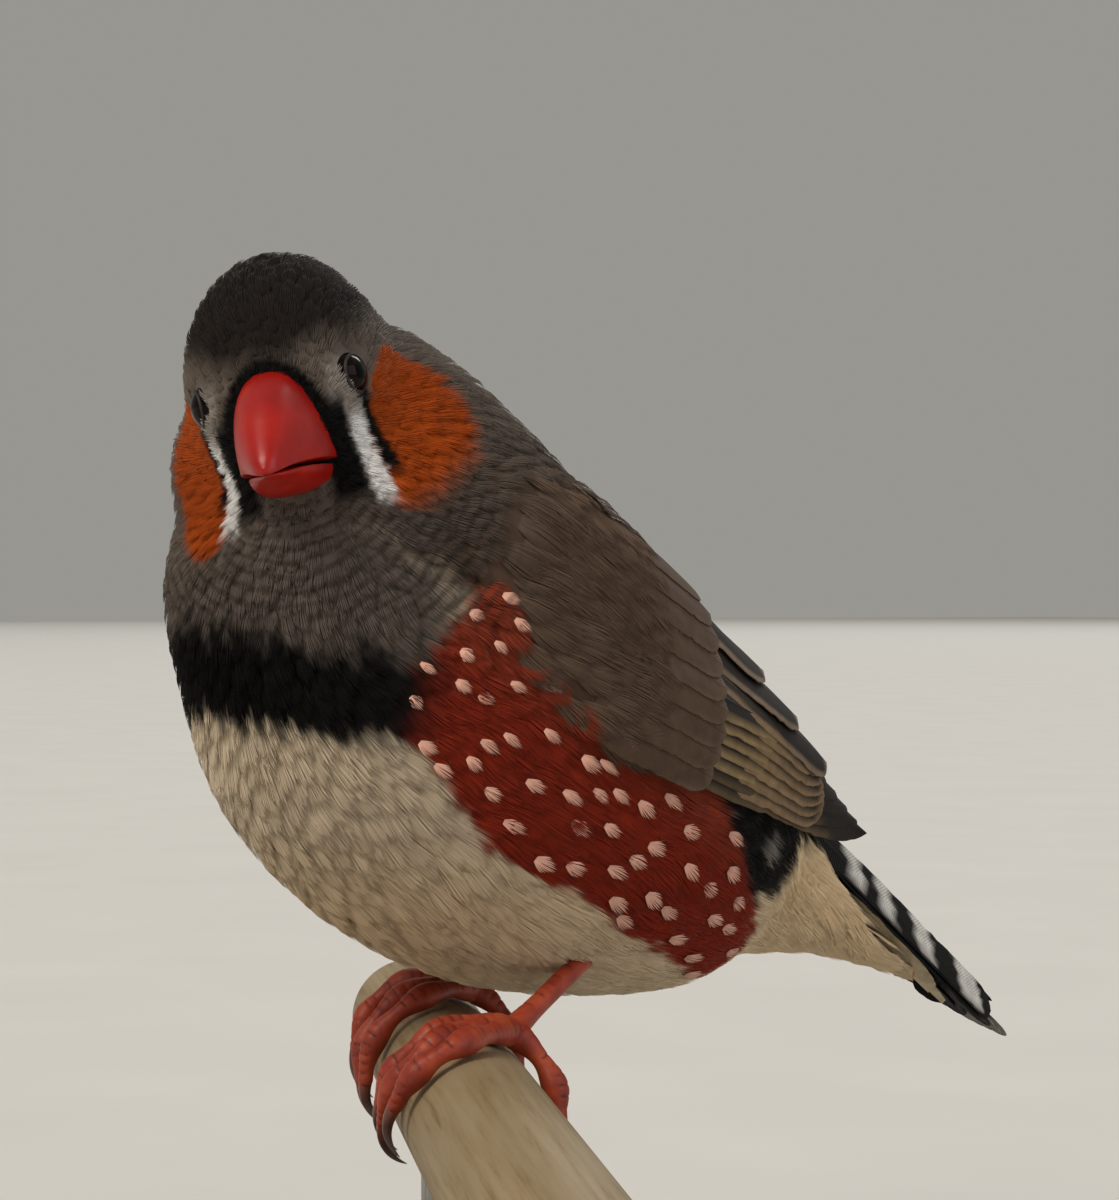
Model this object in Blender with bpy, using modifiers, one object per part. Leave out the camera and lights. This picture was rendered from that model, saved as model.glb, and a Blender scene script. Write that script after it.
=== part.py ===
"""A male zebra finch, life size, perched on a cut length of dowel on a plain display stand.

The bird faces -Y, with its left side at +X, and turns its head to its left. The dowel runs at a
slant under it. Shapes are worked out in millimetres, with heights above the dowel's axis. The last
step stands them on the base, whose underside is at z = 0, and turns them into metres.
It is a still model: nothing on it moves.
"""

import math

import bmesh
import bpy
from mathutils import Matrix, Vector
from mathutils.bvhtree import BVHTree

MM = 0.001
GAP = 0.3
COARSE_GAP = 0.5

# Stand and dowel.
BASE_RADIUS = 48.0
BASE_THICKNESS = 6.0
BASE_BEVEL = 1.0
PERCH_HEIGHT = 30.0
PERCH_RADIUS = 5.5
PERCH_MIDDLE = (-0.8, -1.0, 0.0)
PERCH_TURN = -26.5
PERCH_FAR_END = -36.0
PERCH_NEAR_END = 76.0
PERCH_CHAMFER = 0.6
ROD_RADIUS = 1.8
ROD_PLACES = {"far": -6.0, "near": 32.0}

# Trunk: each station is the dorsal point (y, z), the ventral point (y, z) and the half width.
BODY_STATIONS = (
    (-7.2, 63.0, -21.0, 54.0, 6.5),
    (-2.1, 59.8, -24.4, 48.0, 11.5),
    (3.7, 54.8, -26.5, 40.5, 15.4),
    (9.8, 49.2, -24.4, 31.0, 17.8),
    (16.1, 43.2, -20.8, 22.0, 18.6),
    (21.6, 37.0, -12.8, 13.8, 18.3),
    (26.0, 31.2, -2.5, 8.4, 17.2),
    (29.6, 27.3, 9.0, 6.2, 14.8),
    (32.4, 24.4, 20.8, 6.1, 10.8),
    (34.0, 22.4, 27.0, 10.0, 5.5),
)
RUMP_STATIONS = (
    (20.0, 35.0, 5.0, 10.0, 9.0),
    (28.5, 28.2, 18.0, 7.4, 9.2),
    (33.6, 22.8, 27.0, 8.2, 8.4),
    (36.8, 17.4, 33.5, 8.0, 7.0),
    (40.2, 13.3, 39.3, 7.2, 5.6),
    (45.0, 9.4, 45.0, 5.7, 4.4),
    (49.0, 6.2, 49.4, 4.4, 3.2),
    (51.6, 4.1, 51.9, 3.3, 1.6),
)

# Head, in its own frame: -Y forward, +X to the bird's left.
HEAD_CENTRE = (1.9, -17.3, 56.2)
HEAD_YAW = 51.0
HEAD_PITCH = 12.0
HEAD_ROLL = -13.0
HEAD_STATIONS = (
    (11.0, 3.0, 3.0, -3.5),
    (9.5, 6.0, 7.2, -8.5),
    (6.0, 8.2, 10.4, -11.5),
    (1.5, 8.9, 11.9, -12.0),
    (-3.0, 8.5, 11.3, -10.6),
    (-6.5, 7.0, 9.0, -8.8),
    (-9.2, 5.0, 5.6, -6.8),
    (-10.6, 3.4, 2.8, -5.0),
)
# Each swelling is a centre and its radii: the two cheeks and the full throat.
FACE_FORMS = (
    ((8.6, 3.0, -5.4), (5.4, 6.6, 7.2)),
    ((-7.8, 2.6, -6.0), (4.8, 6.2, 7.4)),
    ((0.0, -3.4, -11.0), (7.0, 6.2, 7.0)),
)
EYE_CENTRE = (5.0, -5.9, 1.1)
EYE_AXIS = (0.93, -0.36, 0.06)
EYE_RADIUS = 2.2
LID_RADIUS = 1.75
LID_THICKNESS = 0.36

# Each bill station is y, half width, top and the height of the mouth line there.
UPPER_BILL = (
    (-7.0, 3.7, 3.5, -4.4),
    (-9.0, 3.65, 3.3, -4.0),
    (-11.5, 3.3, 2.7, -3.6),
    (-14.0, 2.6, 1.4, -3.2),
    (-16.3, 1.6, -0.5, -3.0),
    (-17.9, 0.7, -2.1, -3.0),
    (-18.5, 0.2, -2.9, -3.1),
)
# Each lower station is y, half width, the height of the mouth line and the bottom.
LOWER_BILL = (
    (-6.5, 3.6, -4.8, -7.6),
    (-9.0, 3.3, -4.3, -7.0),
    (-11.5, 2.9, -3.9, -6.2),
    (-14.0, 2.1, -3.5, -5.1),
    (-16.0, 1.2, -3.3, -4.2),
    (-17.4, 0.4, -3.3, -3.6),
)
NOSTRIL = (1.75, -9.4, 2.55)
NOSTRIL_RADIUS = 0.5

# Wing, in a side frame: s runs back along the folded wing and t rises across it.
WING_START = (-8.0, 47.0)
WING_SLOPE = -31.0
WING_LENGTH = 54.0
# Each wing station is the s place, lower edge t, upper edge t, lower edge x and upper edge x.
WING_STATIONS = (
    (-3.0, -3.4, 0.8, 13.6, 11.0),
    (1.0, -6.0, 4.4, 16.4, 10.8),
    (6.0, -9.0, 7.0, 18.2, 9.8),
    (11.0, -10.9, 8.8, 19.0, 8.4),
    (17.0, -11.6, 9.8, 19.5, 6.4),
    (23.0, -10.6, 9.8, 19.0, 4.8),
    (31.0, -7.8, 8.8, 16.8, 3.0),
    (40.0, -4.3, 6.4, 13.2, 2.4),
    (47.0, -2.2, 3.6, 10.2, 3.4),
    (54.0, -0.4, 0.8, 7.6, 6.4),
)
WING_BULGE = 1.9
# How far the wing's face stands off the skin, at its edges and more in its middle.
WING_CLEAR = 0.8
WING_CLEAR_MORE = 0.6
CORE_DEPTH = 3.4
CORE_THIN = 1.0
CORE_FULL = 25.0
CORE_END = 41.0
# Each row of coverts is its number of feathers, where they start and end, and their half width.
COVERT_ROWS = ((6, 15.0, 26.0, 2.0), (6, 8.0, 18.0, 1.9), (4, 2.0, 10.0, 1.9))
VANE_THICKNESS = 0.6
# Share of the length and of the half width along a vane, for vanes of three lengths.
VANE_SHAPE = {
    3: ((0.0, 0.65), (0.55, 1.0), (0.87, 0.86), (1.0, 0.36)),
    4: ((0.0, 0.6), (0.35, 0.88), (0.68, 1.0), (0.9, 0.78), (1.0, 0.3)),
    5: ((0.0, 0.6), (0.25, 0.8), (0.5, 1.0), (0.76, 0.94), (0.93, 0.66), (1.0, 0.22)),
}

# Tail, in a side frame from its root: s back along it, h above its top surface.
TAIL_ROOT = (34.0, 22.6)
TAIL_SLOPE = -40.2
TAIL_LENGTH = 36.5
# Each section of the tail's root is s, half width, top and bottom.
TAIL_ROOT_FORM = ((-1.0, 3.2, -0.9, -3.6), (5.0, 4.3, -0.5, -3.6), (13.0, 3.6, -0.6, -2.6))

# Feet: each toe is a row of (place along the dowel, angle round it from the top, + to the front).
TOE_RADIUS = 0.95
KNUCKLE = 0.22
CLAW_LENGTH = 3.6
CLAW_RADIUS = 0.52
TARSUS_RADIUS = 0.85
FEET = {
    "left": {
        "inner": ((14.0, -28), (14.2, 0), (15.4, 34), (14.4, 62), (13.0, 88)),
        "middle": ((14.0, -28), (16.8, 4), (19.4, 36), (18.2, 66), (15.6, 97)),
        "outer": ((14.0, -28), (19.6, -6), (23.4, 20), (23.6, 48), (22.0, 76)),
        "hind": ((14.0, -28), (14.8, -54), (15.6, -80), (16.2, -98)),
    },
    "right": {
        "inner": ((-9.5, -26), (-5.2, -4), (-1.8, 28), (-1.8, 62), (-2.4, 96)),
        "middle": ((-9.5, -26), (-8.2, 4), (-7.2, 40), (-7.0, 74), (-7.0, 104)),
        "outer": ((-9.5, -26), (-12.2, 0), (-13.6, 32), (-13.4, 60), (-12.4, 86)),
        "hind": ((-9.5, -26), (-9.3, -54), (-9.0, -80), (-8.6, -98)),
    },
}
LEG_TOPS = {"left": (8.6, 9.0, 12.8), "right": (-9.0, 12.0, 11.5)}

# Each piece of flesh lies behind its cutting planes, each a point and the way it faces.
HEAD_CUT = (0.0, -15.0, 43.4)
NECK_CUT = (0.0, -15.0, 37.4)
RUMP_CUT = (0.0, 28.5, 14.0)
FORWARD_UP = (0.0, -0.37, 0.93)
BACK_DOWN = (0.0, 0.37, -0.93)
TAILWARD = (0.0, 0.80, -0.60)
HEADWARD = (0.0, -0.80, 0.60)
FLESH_CUTS = {
    "head": ((HEAD_CUT, BACK_DOWN),),
    "neck": ((HEAD_CUT, FORWARD_UP), (NECK_CUT, BACK_DOWN)),
    "torso": ((NECK_CUT, FORWARD_UP), (RUMP_CUT, TAILWARD)),
    "rump": ((RUMP_CUT, HEADWARD),),
}

FLESH_VOXEL = 0.75
FLESH_TRIANGLES = 2850

COLOURS = {
    "grey_plumage": ("#6b625c", 0.8),
    "white_plumage": ("#cfc3ae", 0.85),
    "brown_plumage": ("#4f443c", 0.75),
    "black_plumage": ("#1c1a1a", 0.7),
    "red_bill": ("#d8301c", 0.35),
    "orange_skin": ("#c2451f", 0.5),
    "horn_claw": ("#7a2a1c", 0.4),
    "dark_eye": ("#120808", 0.08),
    "dowel_wood": ("#a8906c", 0.6),
    "stand_paint": ("#2b2d2f", 0.5),
    "stand_steel": ("#b9bcbf", 0.3),
}


def smooth_through(rows, place):
    """The values at a place, counted in rows, on a Catmull-Rom curve through the rows."""
    last = len(rows) - 1
    place = min(max(place, 0.0), float(last))
    i = min(int(place), last - 1)
    f = place - i
    picked = rows[max(i - 1, 0)], rows[i], rows[i + 1], rows[min(i + 2, last)]
    values = []
    for a, b, c, d in zip(*picked):
        curve = 2 * b + (c - a) * f + (2 * a - 5 * b + 4 * c - d) * f**2
        values.append(0.5 * (curve + (3 * b - a - 3 * c + d) * f**3))
    return values


def row_place(rows, value):
    """The place, counted in rows, where the rows' first number reaches the value."""
    for i in range(len(rows) - 1):
        if value <= rows[i + 1][0]:
            return i + (value - rows[i][0]) / (rows[i + 1][0] - rows[i][0])
    return float(len(rows) - 1)


def clear_scene():
    for obj in list(bpy.data.objects):
        bpy.data.objects.remove(obj)


def make_material(name):
    colour, roughness = COLOURS[name]
    material = bpy.data.materials.new(name)
    material.use_nodes = True
    shader = material.node_tree.nodes["Principled BSDF"]
    parts = [int(colour[i : i + 2], 16) / 255 for i in (1, 3, 5)]
    linear = [p / 12.92 if p <= 0.04045 else ((p + 0.055) / 1.055) ** 2.4 for p in parts]
    shader.inputs["Base Color"].default_value = (*linear, 1.0)
    shader.inputs["Roughness"].default_value = roughness
    shader.inputs["Metallic"].default_value = 1.0 if name == "stand_steel" else 0.0
    return material


def new_object(name, bm):
    bmesh.ops.triangulate(bm, faces=bm.faces)
    mesh = bpy.data.meshes.new(name)
    bm.to_mesh(mesh)
    bm.free()
    obj = bpy.data.objects.new(name, mesh)
    bpy.context.scene.collection.objects.link(obj)
    return obj


def remove_object(obj):
    mesh = obj.data
    bpy.data.objects.remove(obj)
    bpy.data.meshes.remove(mesh)


def copy_object(obj, name):
    copied = bpy.data.objects.new(name, obj.data.copy())
    bpy.context.scene.collection.objects.link(copied)
    return copied


def apply_modifiers(obj):
    bpy.context.view_layer.update()
    graph = bpy.context.evaluated_depsgraph_get()
    mesh = bpy.data.meshes.new_from_object(obj.evaluated_get(graph))
    obj.modifiers.clear()
    old = obj.data
    obj.data = mesh
    bpy.data.meshes.remove(old)


def combine(obj, operation, others):
    """Joins the other closed objects to this one, or cuts them from it, and removes them."""
    group = bpy.data.collections.new("tools")
    for other in others:
        group.objects.link(other)
    modifier = obj.modifiers.new("combine", "BOOLEAN")
    modifier.operation = operation
    modifier.operand_type = "COLLECTION"
    modifier.collection = group
    apply_modifiers(obj)
    for other in others:
        remove_object(other)
    bpy.data.collections.remove(group)


def islands(bm):
    """The sets of faces that hang together."""
    left = set(bm.faces)
    found = []
    while left:
        start = left.pop()
        group, edge = {start}, [start]
        while edge:
            face = edge.pop()
            for side in face.edges:
                for near in side.link_faces:
                    if near in left:
                        left.remove(near)
                        group.add(near)
                        edge.append(near)
        found.append(group)
    return found


def volume_of(faces):
    total = 0.0
    for face in faces:
        a = face.verts[0].co
        for b, c in zip(face.verts[1:-1], face.verts[2:]):
            total += a.dot(b.co.cross(c.co)) / 6
    return total


def keep_largest(obj):
    """Welds hair-thin slivers and keeps the largest closed surface."""
    bm = bmesh.new()
    bm.from_mesh(obj.data)
    bmesh.ops.remove_doubles(bm, verts=bm.verts, dist=0.004)
    bmesh.ops.dissolve_degenerate(bm, dist=0.002, edges=bm.edges)
    bmesh.ops.triangulate(bm, faces=bm.faces)
    groups = sorted(islands(bm), key=volume_of)
    loose = [face for group in groups[:-1] for face in group]
    bmesh.ops.delete(bm, geom=loose, context="FACES")
    bmesh.ops.delete(bm, geom=[v for v in bm.verts if not v.link_faces], context="VERTS")
    bm.to_mesh(obj.data)
    bm.free()


def ring_faces(bm, rings):
    """Sides through rings of points, every quad split alike, with a fan at each end."""
    loops = [[bm.verts.new(point) for point in ring] for ring in rings]
    for near, far in zip(loops, loops[1:]):
        for i in range(len(near)):
            j = (i + 1) % len(near)
            bm.faces.new((near[i], near[j], far[j]))
            bm.faces.new((near[i], far[j], far[i]))
    bm.faces.new(reversed(loops[0]))
    bm.faces.new(loops[-1])
    bmesh.ops.recalc_face_normals(bm, faces=bm.faces)


def loft(name, rings):
    bm = bmesh.new()
    ring_faces(bm, rings)
    return new_object(name, bm)


def circle_angles(sides):
    return [2 * math.pi * i / sides for i in range(sides)]


def tube(name, points, radii, sides):
    """A round closed body along a curve, with a radius at each point."""
    points = [Vector(point) for point in points]
    rings = []
    across = None
    for i, (point, radius) in enumerate(zip(points, radii)):
        ahead = points[min(i + 1, len(points) - 1)] - points[max(i - 1, 0)]
        ahead.normalize()
        if across is None:
            across = ahead.orthogonal().normalized()
        across = (across - ahead * across.dot(ahead)).normalized()
        up = ahead.cross(across)
        rings.append(
            [point + radius * (across * math.cos(a) + up * math.sin(a)) for a in circle_angles(sides)]
        )
    return loft(name, rings)


def ball(name, centre, radii, matrix, segments, rings):
    bm = bmesh.new()
    bmesh.ops.create_uvsphere(bm, u_segments=segments, v_segments=rings, radius=1.0)
    shape = matrix @ Matrix.Translation(centre) @ Matrix.Diagonal((*radii, 1.0))
    bmesh.ops.transform(bm, matrix=shape, verts=bm.verts)
    if shape.determinant() < 0:
        bmesh.ops.reverse_faces(bm, faces=bm.faces)
    return new_object(name, bm)


def trunk_rings(stations, steps, sides):
    rings = []
    for k in range(steps + 1):
        place = k * (len(stations) - 1) / steps
        dorsal_y, dorsal_z, ventral_y, ventral_z, half = smooth_through(stations, place)
        centre = Vector((0, (dorsal_y + ventral_y) / 2, (dorsal_z + ventral_z) / 2))
        up = Vector((0, (dorsal_y - ventral_y) / 2, (dorsal_z - ventral_z) / 2))
        side = Vector((half, 0, 0))
        rings.append([centre - up * math.cos(a) + side * math.sin(a) for a in circle_angles(sides)])
    return rings


def head_matrix():
    turn = Matrix.Rotation(math.radians(HEAD_YAW), 4, "Z")
    nod = Matrix.Rotation(math.radians(HEAD_PITCH), 4, "X")
    lean = Matrix.Rotation(math.radians(HEAD_ROLL), 4, "Y")
    return Matrix.Translation(HEAD_CENTRE) @ turn @ nod @ lean


def head_rings(steps, sides):
    rings = []
    for k in range(steps + 1):
        place = k * (len(HEAD_STATIONS) - 1) / steps
        y, half, top, bottom = smooth_through(HEAD_STATIONS, place)
        middle, tall = (top + bottom) / 2, (top - bottom) / 2
        points = [(half * math.cos(a), y, middle + tall * math.sin(a)) for a in circle_angles(sides)]
        rings.append([head_matrix() @ Vector(point) for point in points])
    return rings


def make_flesh():
    """The whole feathered body without wings and tail, as one smooth skin."""
    flesh = loft("flesh", trunk_rings(BODY_STATIONS, 30, 32))
    others = [
        loft("rump_form", trunk_rings(RUMP_STATIONS, 20, 24)),
        loft("head_form", head_rings(16, 28)),
    ]
    for centre, radii in FACE_FORMS:
        others.append(ball("face_form", centre, radii, head_matrix(), 20, 12))
    combine(flesh, "UNION", others)
    remesh = flesh.modifiers.new("even", "REMESH")
    remesh.mode = "VOXEL"
    remesh.voxel_size = FLESH_VOXEL
    apply_modifiers(flesh)
    smooth = flesh.modifiers.new("smooth", "SMOOTH")
    smooth.factor = 0.5
    smooth.iterations = 10
    apply_modifiers(flesh)
    flesh.data.calc_loop_triangles()
    fewer = flesh.modifiers.new("fewer", "DECIMATE")
    fewer.ratio = FLESH_TRIANGLES / len(flesh.data.loop_triangles)
    apply_modifiers(flesh)
    keep_largest(flesh)
    return flesh


def inflated(obj, name, by):
    """A copy grown along its normals, for cutting a neighbour clear of it."""
    grown = copy_object(obj, name)
    normals = [vertex.normal.copy() for vertex in grown.data.vertices]
    for vertex, normal in zip(grown.data.vertices, normals):
        vertex.co += normal * by
    return grown


def cut_clear(obj, solid, by=GAP):
    combine(obj, "DIFFERENCE", [inflated(solid, "clearance", by)])
    keep_largest(obj)


def keep_behind(bm, point, normal):
    """Cuts off what lies ahead of a plane, half a gap short of it, and caps the cut flat."""
    normal = Vector(normal).normalized()
    geom = bm.verts[:] + bm.edges[:] + bm.faces[:]
    place = Vector(point) - normal * GAP / 2
    bmesh.ops.bisect_plane(bm, geom=geom, dist=1e-5, plane_co=place, plane_no=normal, clear_outer=True)
    rim = [edge for edge in bm.edges if edge.is_boundary]
    bmesh.ops.contextual_create(bm, geom=rim)


def part_flesh(flesh):
    """Parts the skin by thin flat cuts into head, neck, torso and rump."""
    nodes = {}
    for name, planes in FLESH_CUTS.items():
        bm = bmesh.new()
        bm.from_mesh(flesh.data)
        for point, normal in planes:
            keep_behind(bm, point, normal)
        bmesh.ops.recalc_face_normals(bm, faces=bm.faces)
        nodes[name] = new_object(name, bm)
        keep_largest(nodes[name])
    return nodes


def side_matrix(side):
    """The head's frame, mirrored for the right side."""
    return head_matrix() @ Matrix.Diagonal((side, 1.0, 1.0, 1.0))


def lid_ring(side):
    """The rim of bare skin round an eye."""
    axis = Vector(EYE_AXIS).normalized()
    centre = Vector(EYE_CENTRE) + axis * math.sqrt(EYE_RADIUS**2 - LID_RADIUS**2)
    across = axis.orthogonal().normalized()
    up = axis.cross(across)
    bm = bmesh.new()
    rows = []
    for a in circle_angles(16):
        out = across * math.cos(a) + up * math.sin(a)
        rows.append([])
        for b in circle_angles(6):
            reach = LID_RADIUS + LID_THICKNESS * math.cos(b)
            point = centre + out * reach + axis * (0.05 + 1.3 * LID_THICKNESS * math.sin(b))
            rows[-1].append(bm.verts.new(side_matrix(side) @ point))
    for i, row in enumerate(rows):
        ahead = rows[(i + 1) % len(rows)]
        for j in range(len(row)):
            k = (j + 1) % len(row)
            bm.faces.new((row[j], row[k], ahead[k], ahead[j]))
    bmesh.ops.recalc_face_normals(bm, faces=bm.faces)
    return new_object("lid", bm)


def finish_head(head):
    sockets = []
    lids = []
    for side in (1.0, -1.0):
        hole = (EYE_RADIUS + GAP,) * 3
        sockets.append(ball("socket", EYE_CENTRE, hole, side_matrix(side), 16, 10))
        lids.append(lid_ring(side))
    combine(head, "UNION", lids)
    combine(head, "DIFFERENCE", sockets)
    keep_largest(head)


def make_eyes():
    eyes = {}
    for name, side in (("eye_left", 1.0), ("eye_right", -1.0)):
        eyes[name] = ball(name, EYE_CENTRE, (EYE_RADIUS,) * 3, side_matrix(side), 16, 10)
    return eyes


def bill_rings(stations, arch_up, steps):
    """Half-round sections with a flat face on the mouth line."""
    rings = []
    for k in range(steps + 1):
        place = k * (len(stations) - 1) / steps
        y, half, top, bottom = smooth_through(stations, place)
        flat, round_end = (bottom, top) if arch_up else (top, bottom)
        arch = [math.pi * i / 8 for i in range(9)]
        points = []
        for a in arch:
            lift = abs(math.sin(a)) ** 0.9
            points.append((half * math.cos(a), y, flat + (round_end - flat) * lift))
        points.append((0.0, y, flat))
        rings.append([head_matrix() @ Vector(point) for point in points])
    return rings


def make_bill(flesh):
    upper = loft("bill_upper", bill_rings(UPPER_BILL, True, 9))
    lower = loft("bill_lower", bill_rings(LOWER_BILL, False, 7))
    nostrils = []
    for side in (1.0, -1.0):
        size = (NOSTRIL_RADIUS,) * 3
        nostrils.append(ball("nostril", NOSTRIL, size, side_matrix(side), 8, 6))
    combine(upper, "DIFFERENCE", nostrils)
    for half in (upper, lower):
        cut_clear(half, flesh)
    return {"bill_upper": upper, "bill_lower": lower}


def wing_edges(s):
    """The lower and upper edge of the wing there, as t."""
    _, low_t, high_t, _, _ = smooth_through(WING_STATIONS, row_place(WING_STATIONS, s))
    return low_t, high_t


def wing_across(s, share):
    """The place that far up the wing, from 0 at its lower edge to 1 at its upper edge."""
    low_t, high_t = wing_edges(s)
    return s, low_t + (high_t - low_t) * share


def wing_place(skin):
    """A function from (s, t, h) to a point of the left wing, h out from its face, clear of the skin."""
    corners = [vertex.co.copy() for vertex in skin.data.vertices]
    tree = BVHTree.FromPolygons(corners, [tuple(face.vertices) for face in skin.data.polygons])
    turn = math.radians(WING_SLOPE)
    along = Vector((0, math.cos(turn), math.sin(turn)))
    rise = Vector((0, -math.sin(turn), math.cos(turn)))

    def place(s, t, h):
        _, low_t, high_t, low_x, high_x = smooth_through(WING_STATIONS, row_place(WING_STATIONS, s))
        share = min(max((t - low_t) / (high_t - low_t), 0.0), 1.0)
        fade = 1.0 - 0.8 * max(0.0, (s - 36.0) / (WING_LENGTH - 36.0))
        swell = math.sin(math.pi * share)
        x = high_x + (low_x - high_x) * math.cos(share * math.pi / 2) + WING_BULGE * fade * swell
        lean = 0.75 * math.pi / 2 * share
        out = Vector((math.cos(lean), 0, 0)) + rise * math.sin(lean)
        point = Vector((x, *WING_START)) + along * s + rise * t
        near, normal, _, _ = tree.find_nearest(point)
        short = WING_CLEAR + WING_CLEAR_MORE * swell - (point - near).dot(normal)
        return point + out * (h + max(0.0, short))

    return place


def tail_point(s, x, h):
    turn = math.radians(TAIL_SLOPE)
    along = Vector((0, math.cos(turn), math.sin(turn)))
    rise = Vector((0, -math.sin(turn), math.cos(turn)))
    droop = 0.015 * x * x
    return Vector((x, *TAIL_ROOT)) + along * s + rise * (h - droop)


def vane(place, root, tip, half, lift, tilt=0.0, bow=0.0, sections=4, thick=VANE_THICKNESS):
    """A flat tapered feather on a surface: lift is its height at the root and at the tip."""
    rings = []
    length = math.hypot(tip[0] - root[0], tip[1] - root[1])
    ahead = ((tip[0] - root[0]) / length, (tip[1] - root[1]) / length)
    for u, wide in VANE_SHAPE[sections]:
        bend = bow * math.sin(math.pi * u)
        s = root[0] + (tip[0] - root[0]) * u - ahead[1] * bend
        t = root[1] + (tip[1] - root[1]) * u + ahead[0] * bend
        h = lift[0] + (lift[1] - lift[0]) * u
        depth = thick * (1.0 - 0.45 * u)
        ring = []
        for across, top in ((-1, 0), (1, 0), (1, 1), (-1, 1)):
            w = across * half * wide
            ring.append(place(s - ahead[1] * w, t + ahead[0] * w, h - tilt * across + depth * (top - 0.5)))
        rings.append(ring)
    return loft("vane", rings)


def wing_core(place):
    """The thick front of the wing under its feathers."""
    bm = bmesh.new()
    columns, rows = 10, 5
    first = WING_STATIONS[0][0]
    sheets = []
    for top in (1, 0):
        sheet = []
        for i in range(columns + 1):
            s = first + (CORE_END - first) * i / columns
            low_t, high_t = wing_edges(s)
            thin = max(0.0, (s - CORE_FULL) / (CORE_END - CORE_FULL))
            thick = CORE_DEPTH + (CORE_THIN - CORE_DEPTH) * thin
            line = []
            for j in range(rows + 1):
                t = low_t + 0.5 + (high_t - low_t - 1.0) * j / rows
                edge = 0.35 if j in (0, rows) or i in (0, columns) else 0.0
                line.append(bm.verts.new(place(s, t, -edge if top else -thick + edge)))
            sheet.append(line)
        sheets.append(sheet)
    for sheet in sheets:
        for i in range(columns):
            for j in range(rows):
                a, b = sheet[i][j], sheet[i + 1][j]
                c, d = sheet[i + 1][j + 1], sheet[i][j + 1]
                bm.faces.new((a, b, c))
                bm.faces.new((a, c, d))
    rim = [(i, 0) for i in range(columns)]
    rim += [(columns, j) for j in range(rows)]
    rim += [(i, rows) for i in range(columns, 0, -1)]
    rim += [(0, j) for j in range(rows, 0, -1)]
    for (i, j), (k, m) in zip(rim, rim[1:] + rim[:1]):
        bm.faces.new((sheets[0][i][j], sheets[0][k][m], sheets[1][k][m], sheets[1][i][j]))
    bmesh.ops.recalc_face_normals(bm, faces=bm.faces)
    return new_object("wing", bm)


def wing_vanes(place):
    """Six primaries, four secondaries, three tertials and three rows of coverts."""
    vanes = []
    for k in range(6):
        tip = (WING_LENGTH - 0.6 - 2.1 * k - 0.12 * k * k, 0.1 + 0.42 * k)
        root = (20.0 - 0.6 * k, -9.4 + 1.0 * k)
        vanes.append(vane(place, root, tip, 1.9, (-0.4, 0.0), 0.3, -0.5, 5, 0.7))
    for k in range(4):
        tip = (37.2 - 1.3 * k, -4.0 + 2.1 * k)
        root = (18.0, -8.2 + 2.7 * k)
        vanes.append(vane(place, root, tip, 1.9, (-0.4, 0.5), 0.3, -0.3))
    for k in range(3):
        tip = (42.5 - 4.6 * k, 3.2 + 1.0 * k)
        root = (18.0 - k, 2.2 + 1.9 * k)
        vanes.append(vane(place, root, tip, 2.5 - 0.1 * k, (-0.3, 0.85), 0.28, 0.4))
    for count, start, end, half in COVERT_ROWS:
        for k in range(count):
            share = 0.1 + 0.76 * k / (count - 1)
            root, tip = wing_across(start, share), wing_across(end - 0.3 * k, share)
            vanes.append(vane(place, root, tip, half, (-0.5, 0.6), 0.22, 0.0, 3))
    return vanes


def coarse_copy(flesh):
    """The skin with fewer faces, for cutting the backs of wings and tail clear of it."""
    coarse = copy_object(flesh, "coarse")
    fewer = coarse.modifiers.new("fewer", "DECIMATE")
    fewer.ratio = 0.2
    apply_modifiers(coarse)
    return coarse


def make_wings(flesh, coarse):
    place = wing_place(flesh)
    left = wing_core(place)
    left.name = "wing_left"
    combine(left, "UNION", wing_vanes(place))
    cut_clear(left, coarse, COARSE_GAP)
    right = copy_object(left, "wing_right")
    right.data.transform(Matrix.Diagonal((-1.0, 1.0, 1.0, 1.0)))
    right.data.flip_normals()
    return {"wing_left": left, "wing_right": right}


def make_tail(coarse):
    """Twelve tail feathers under barred covert feathers, on one root."""
    rings = []
    for s, half, top, bottom in TAIL_ROOT_FORM:
        low_side = [(-half, bottom), (half, bottom), (half, top - 0.9)]
        corners = low_side + [(0.5 * half, top), (-0.5 * half, top), (-half, top - 0.9)]
        rings.append([tail_point(s, x, h) for x, h in corners])
    tail = loft("tail", rings)
    vanes = []
    for side in (1.0, -1.0):
        for k in range(6):
            height = -0.85 - 0.2 * k - (0.1 if side > 0 else 0.0)
            tip = (TAIL_LENGTH - 0.5 * k - 0.1 * k * k, side * (0.45 + 0.36 * k))
            root = (2.0, side * (0.5 + 0.42 * k))
            vanes.append(vane(tail_point, root, tip, 1.6, (height - 0.4, height), 0.0, 0.0, 4, 0.55))
        for k in range(4):
            tip = (12.0 + 4.6 * k, side * (2.6 - 0.35 * k))
            root = (1.0, side * (1.6 - 0.1 * k))
            height = -0.15 - 0.12 * k
            vanes.append(vane(tail_point, root, tip, 1.9, (height - 0.7, height), 0.0, 0.0, 3, 0.6))
    combine(tail, "UNION", vanes)
    cut_clear(tail, coarse, COARSE_GAP)
    return tail


def perch_point(along, angle, radius):
    """A point round the dowel: the angle is from its top, positive towards the bird's front."""
    turn = math.radians(PERCH_TURN)
    axis = Vector((math.cos(turn), math.sin(turn), 0))
    back = Vector((-math.sin(turn), math.cos(turn), 0))
    a = math.radians(angle)
    up = Vector((0, 0, 1))
    return Vector(PERCH_MIDDLE) + axis * along + (up * math.cos(a) - back * math.sin(a)) * radius


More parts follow.
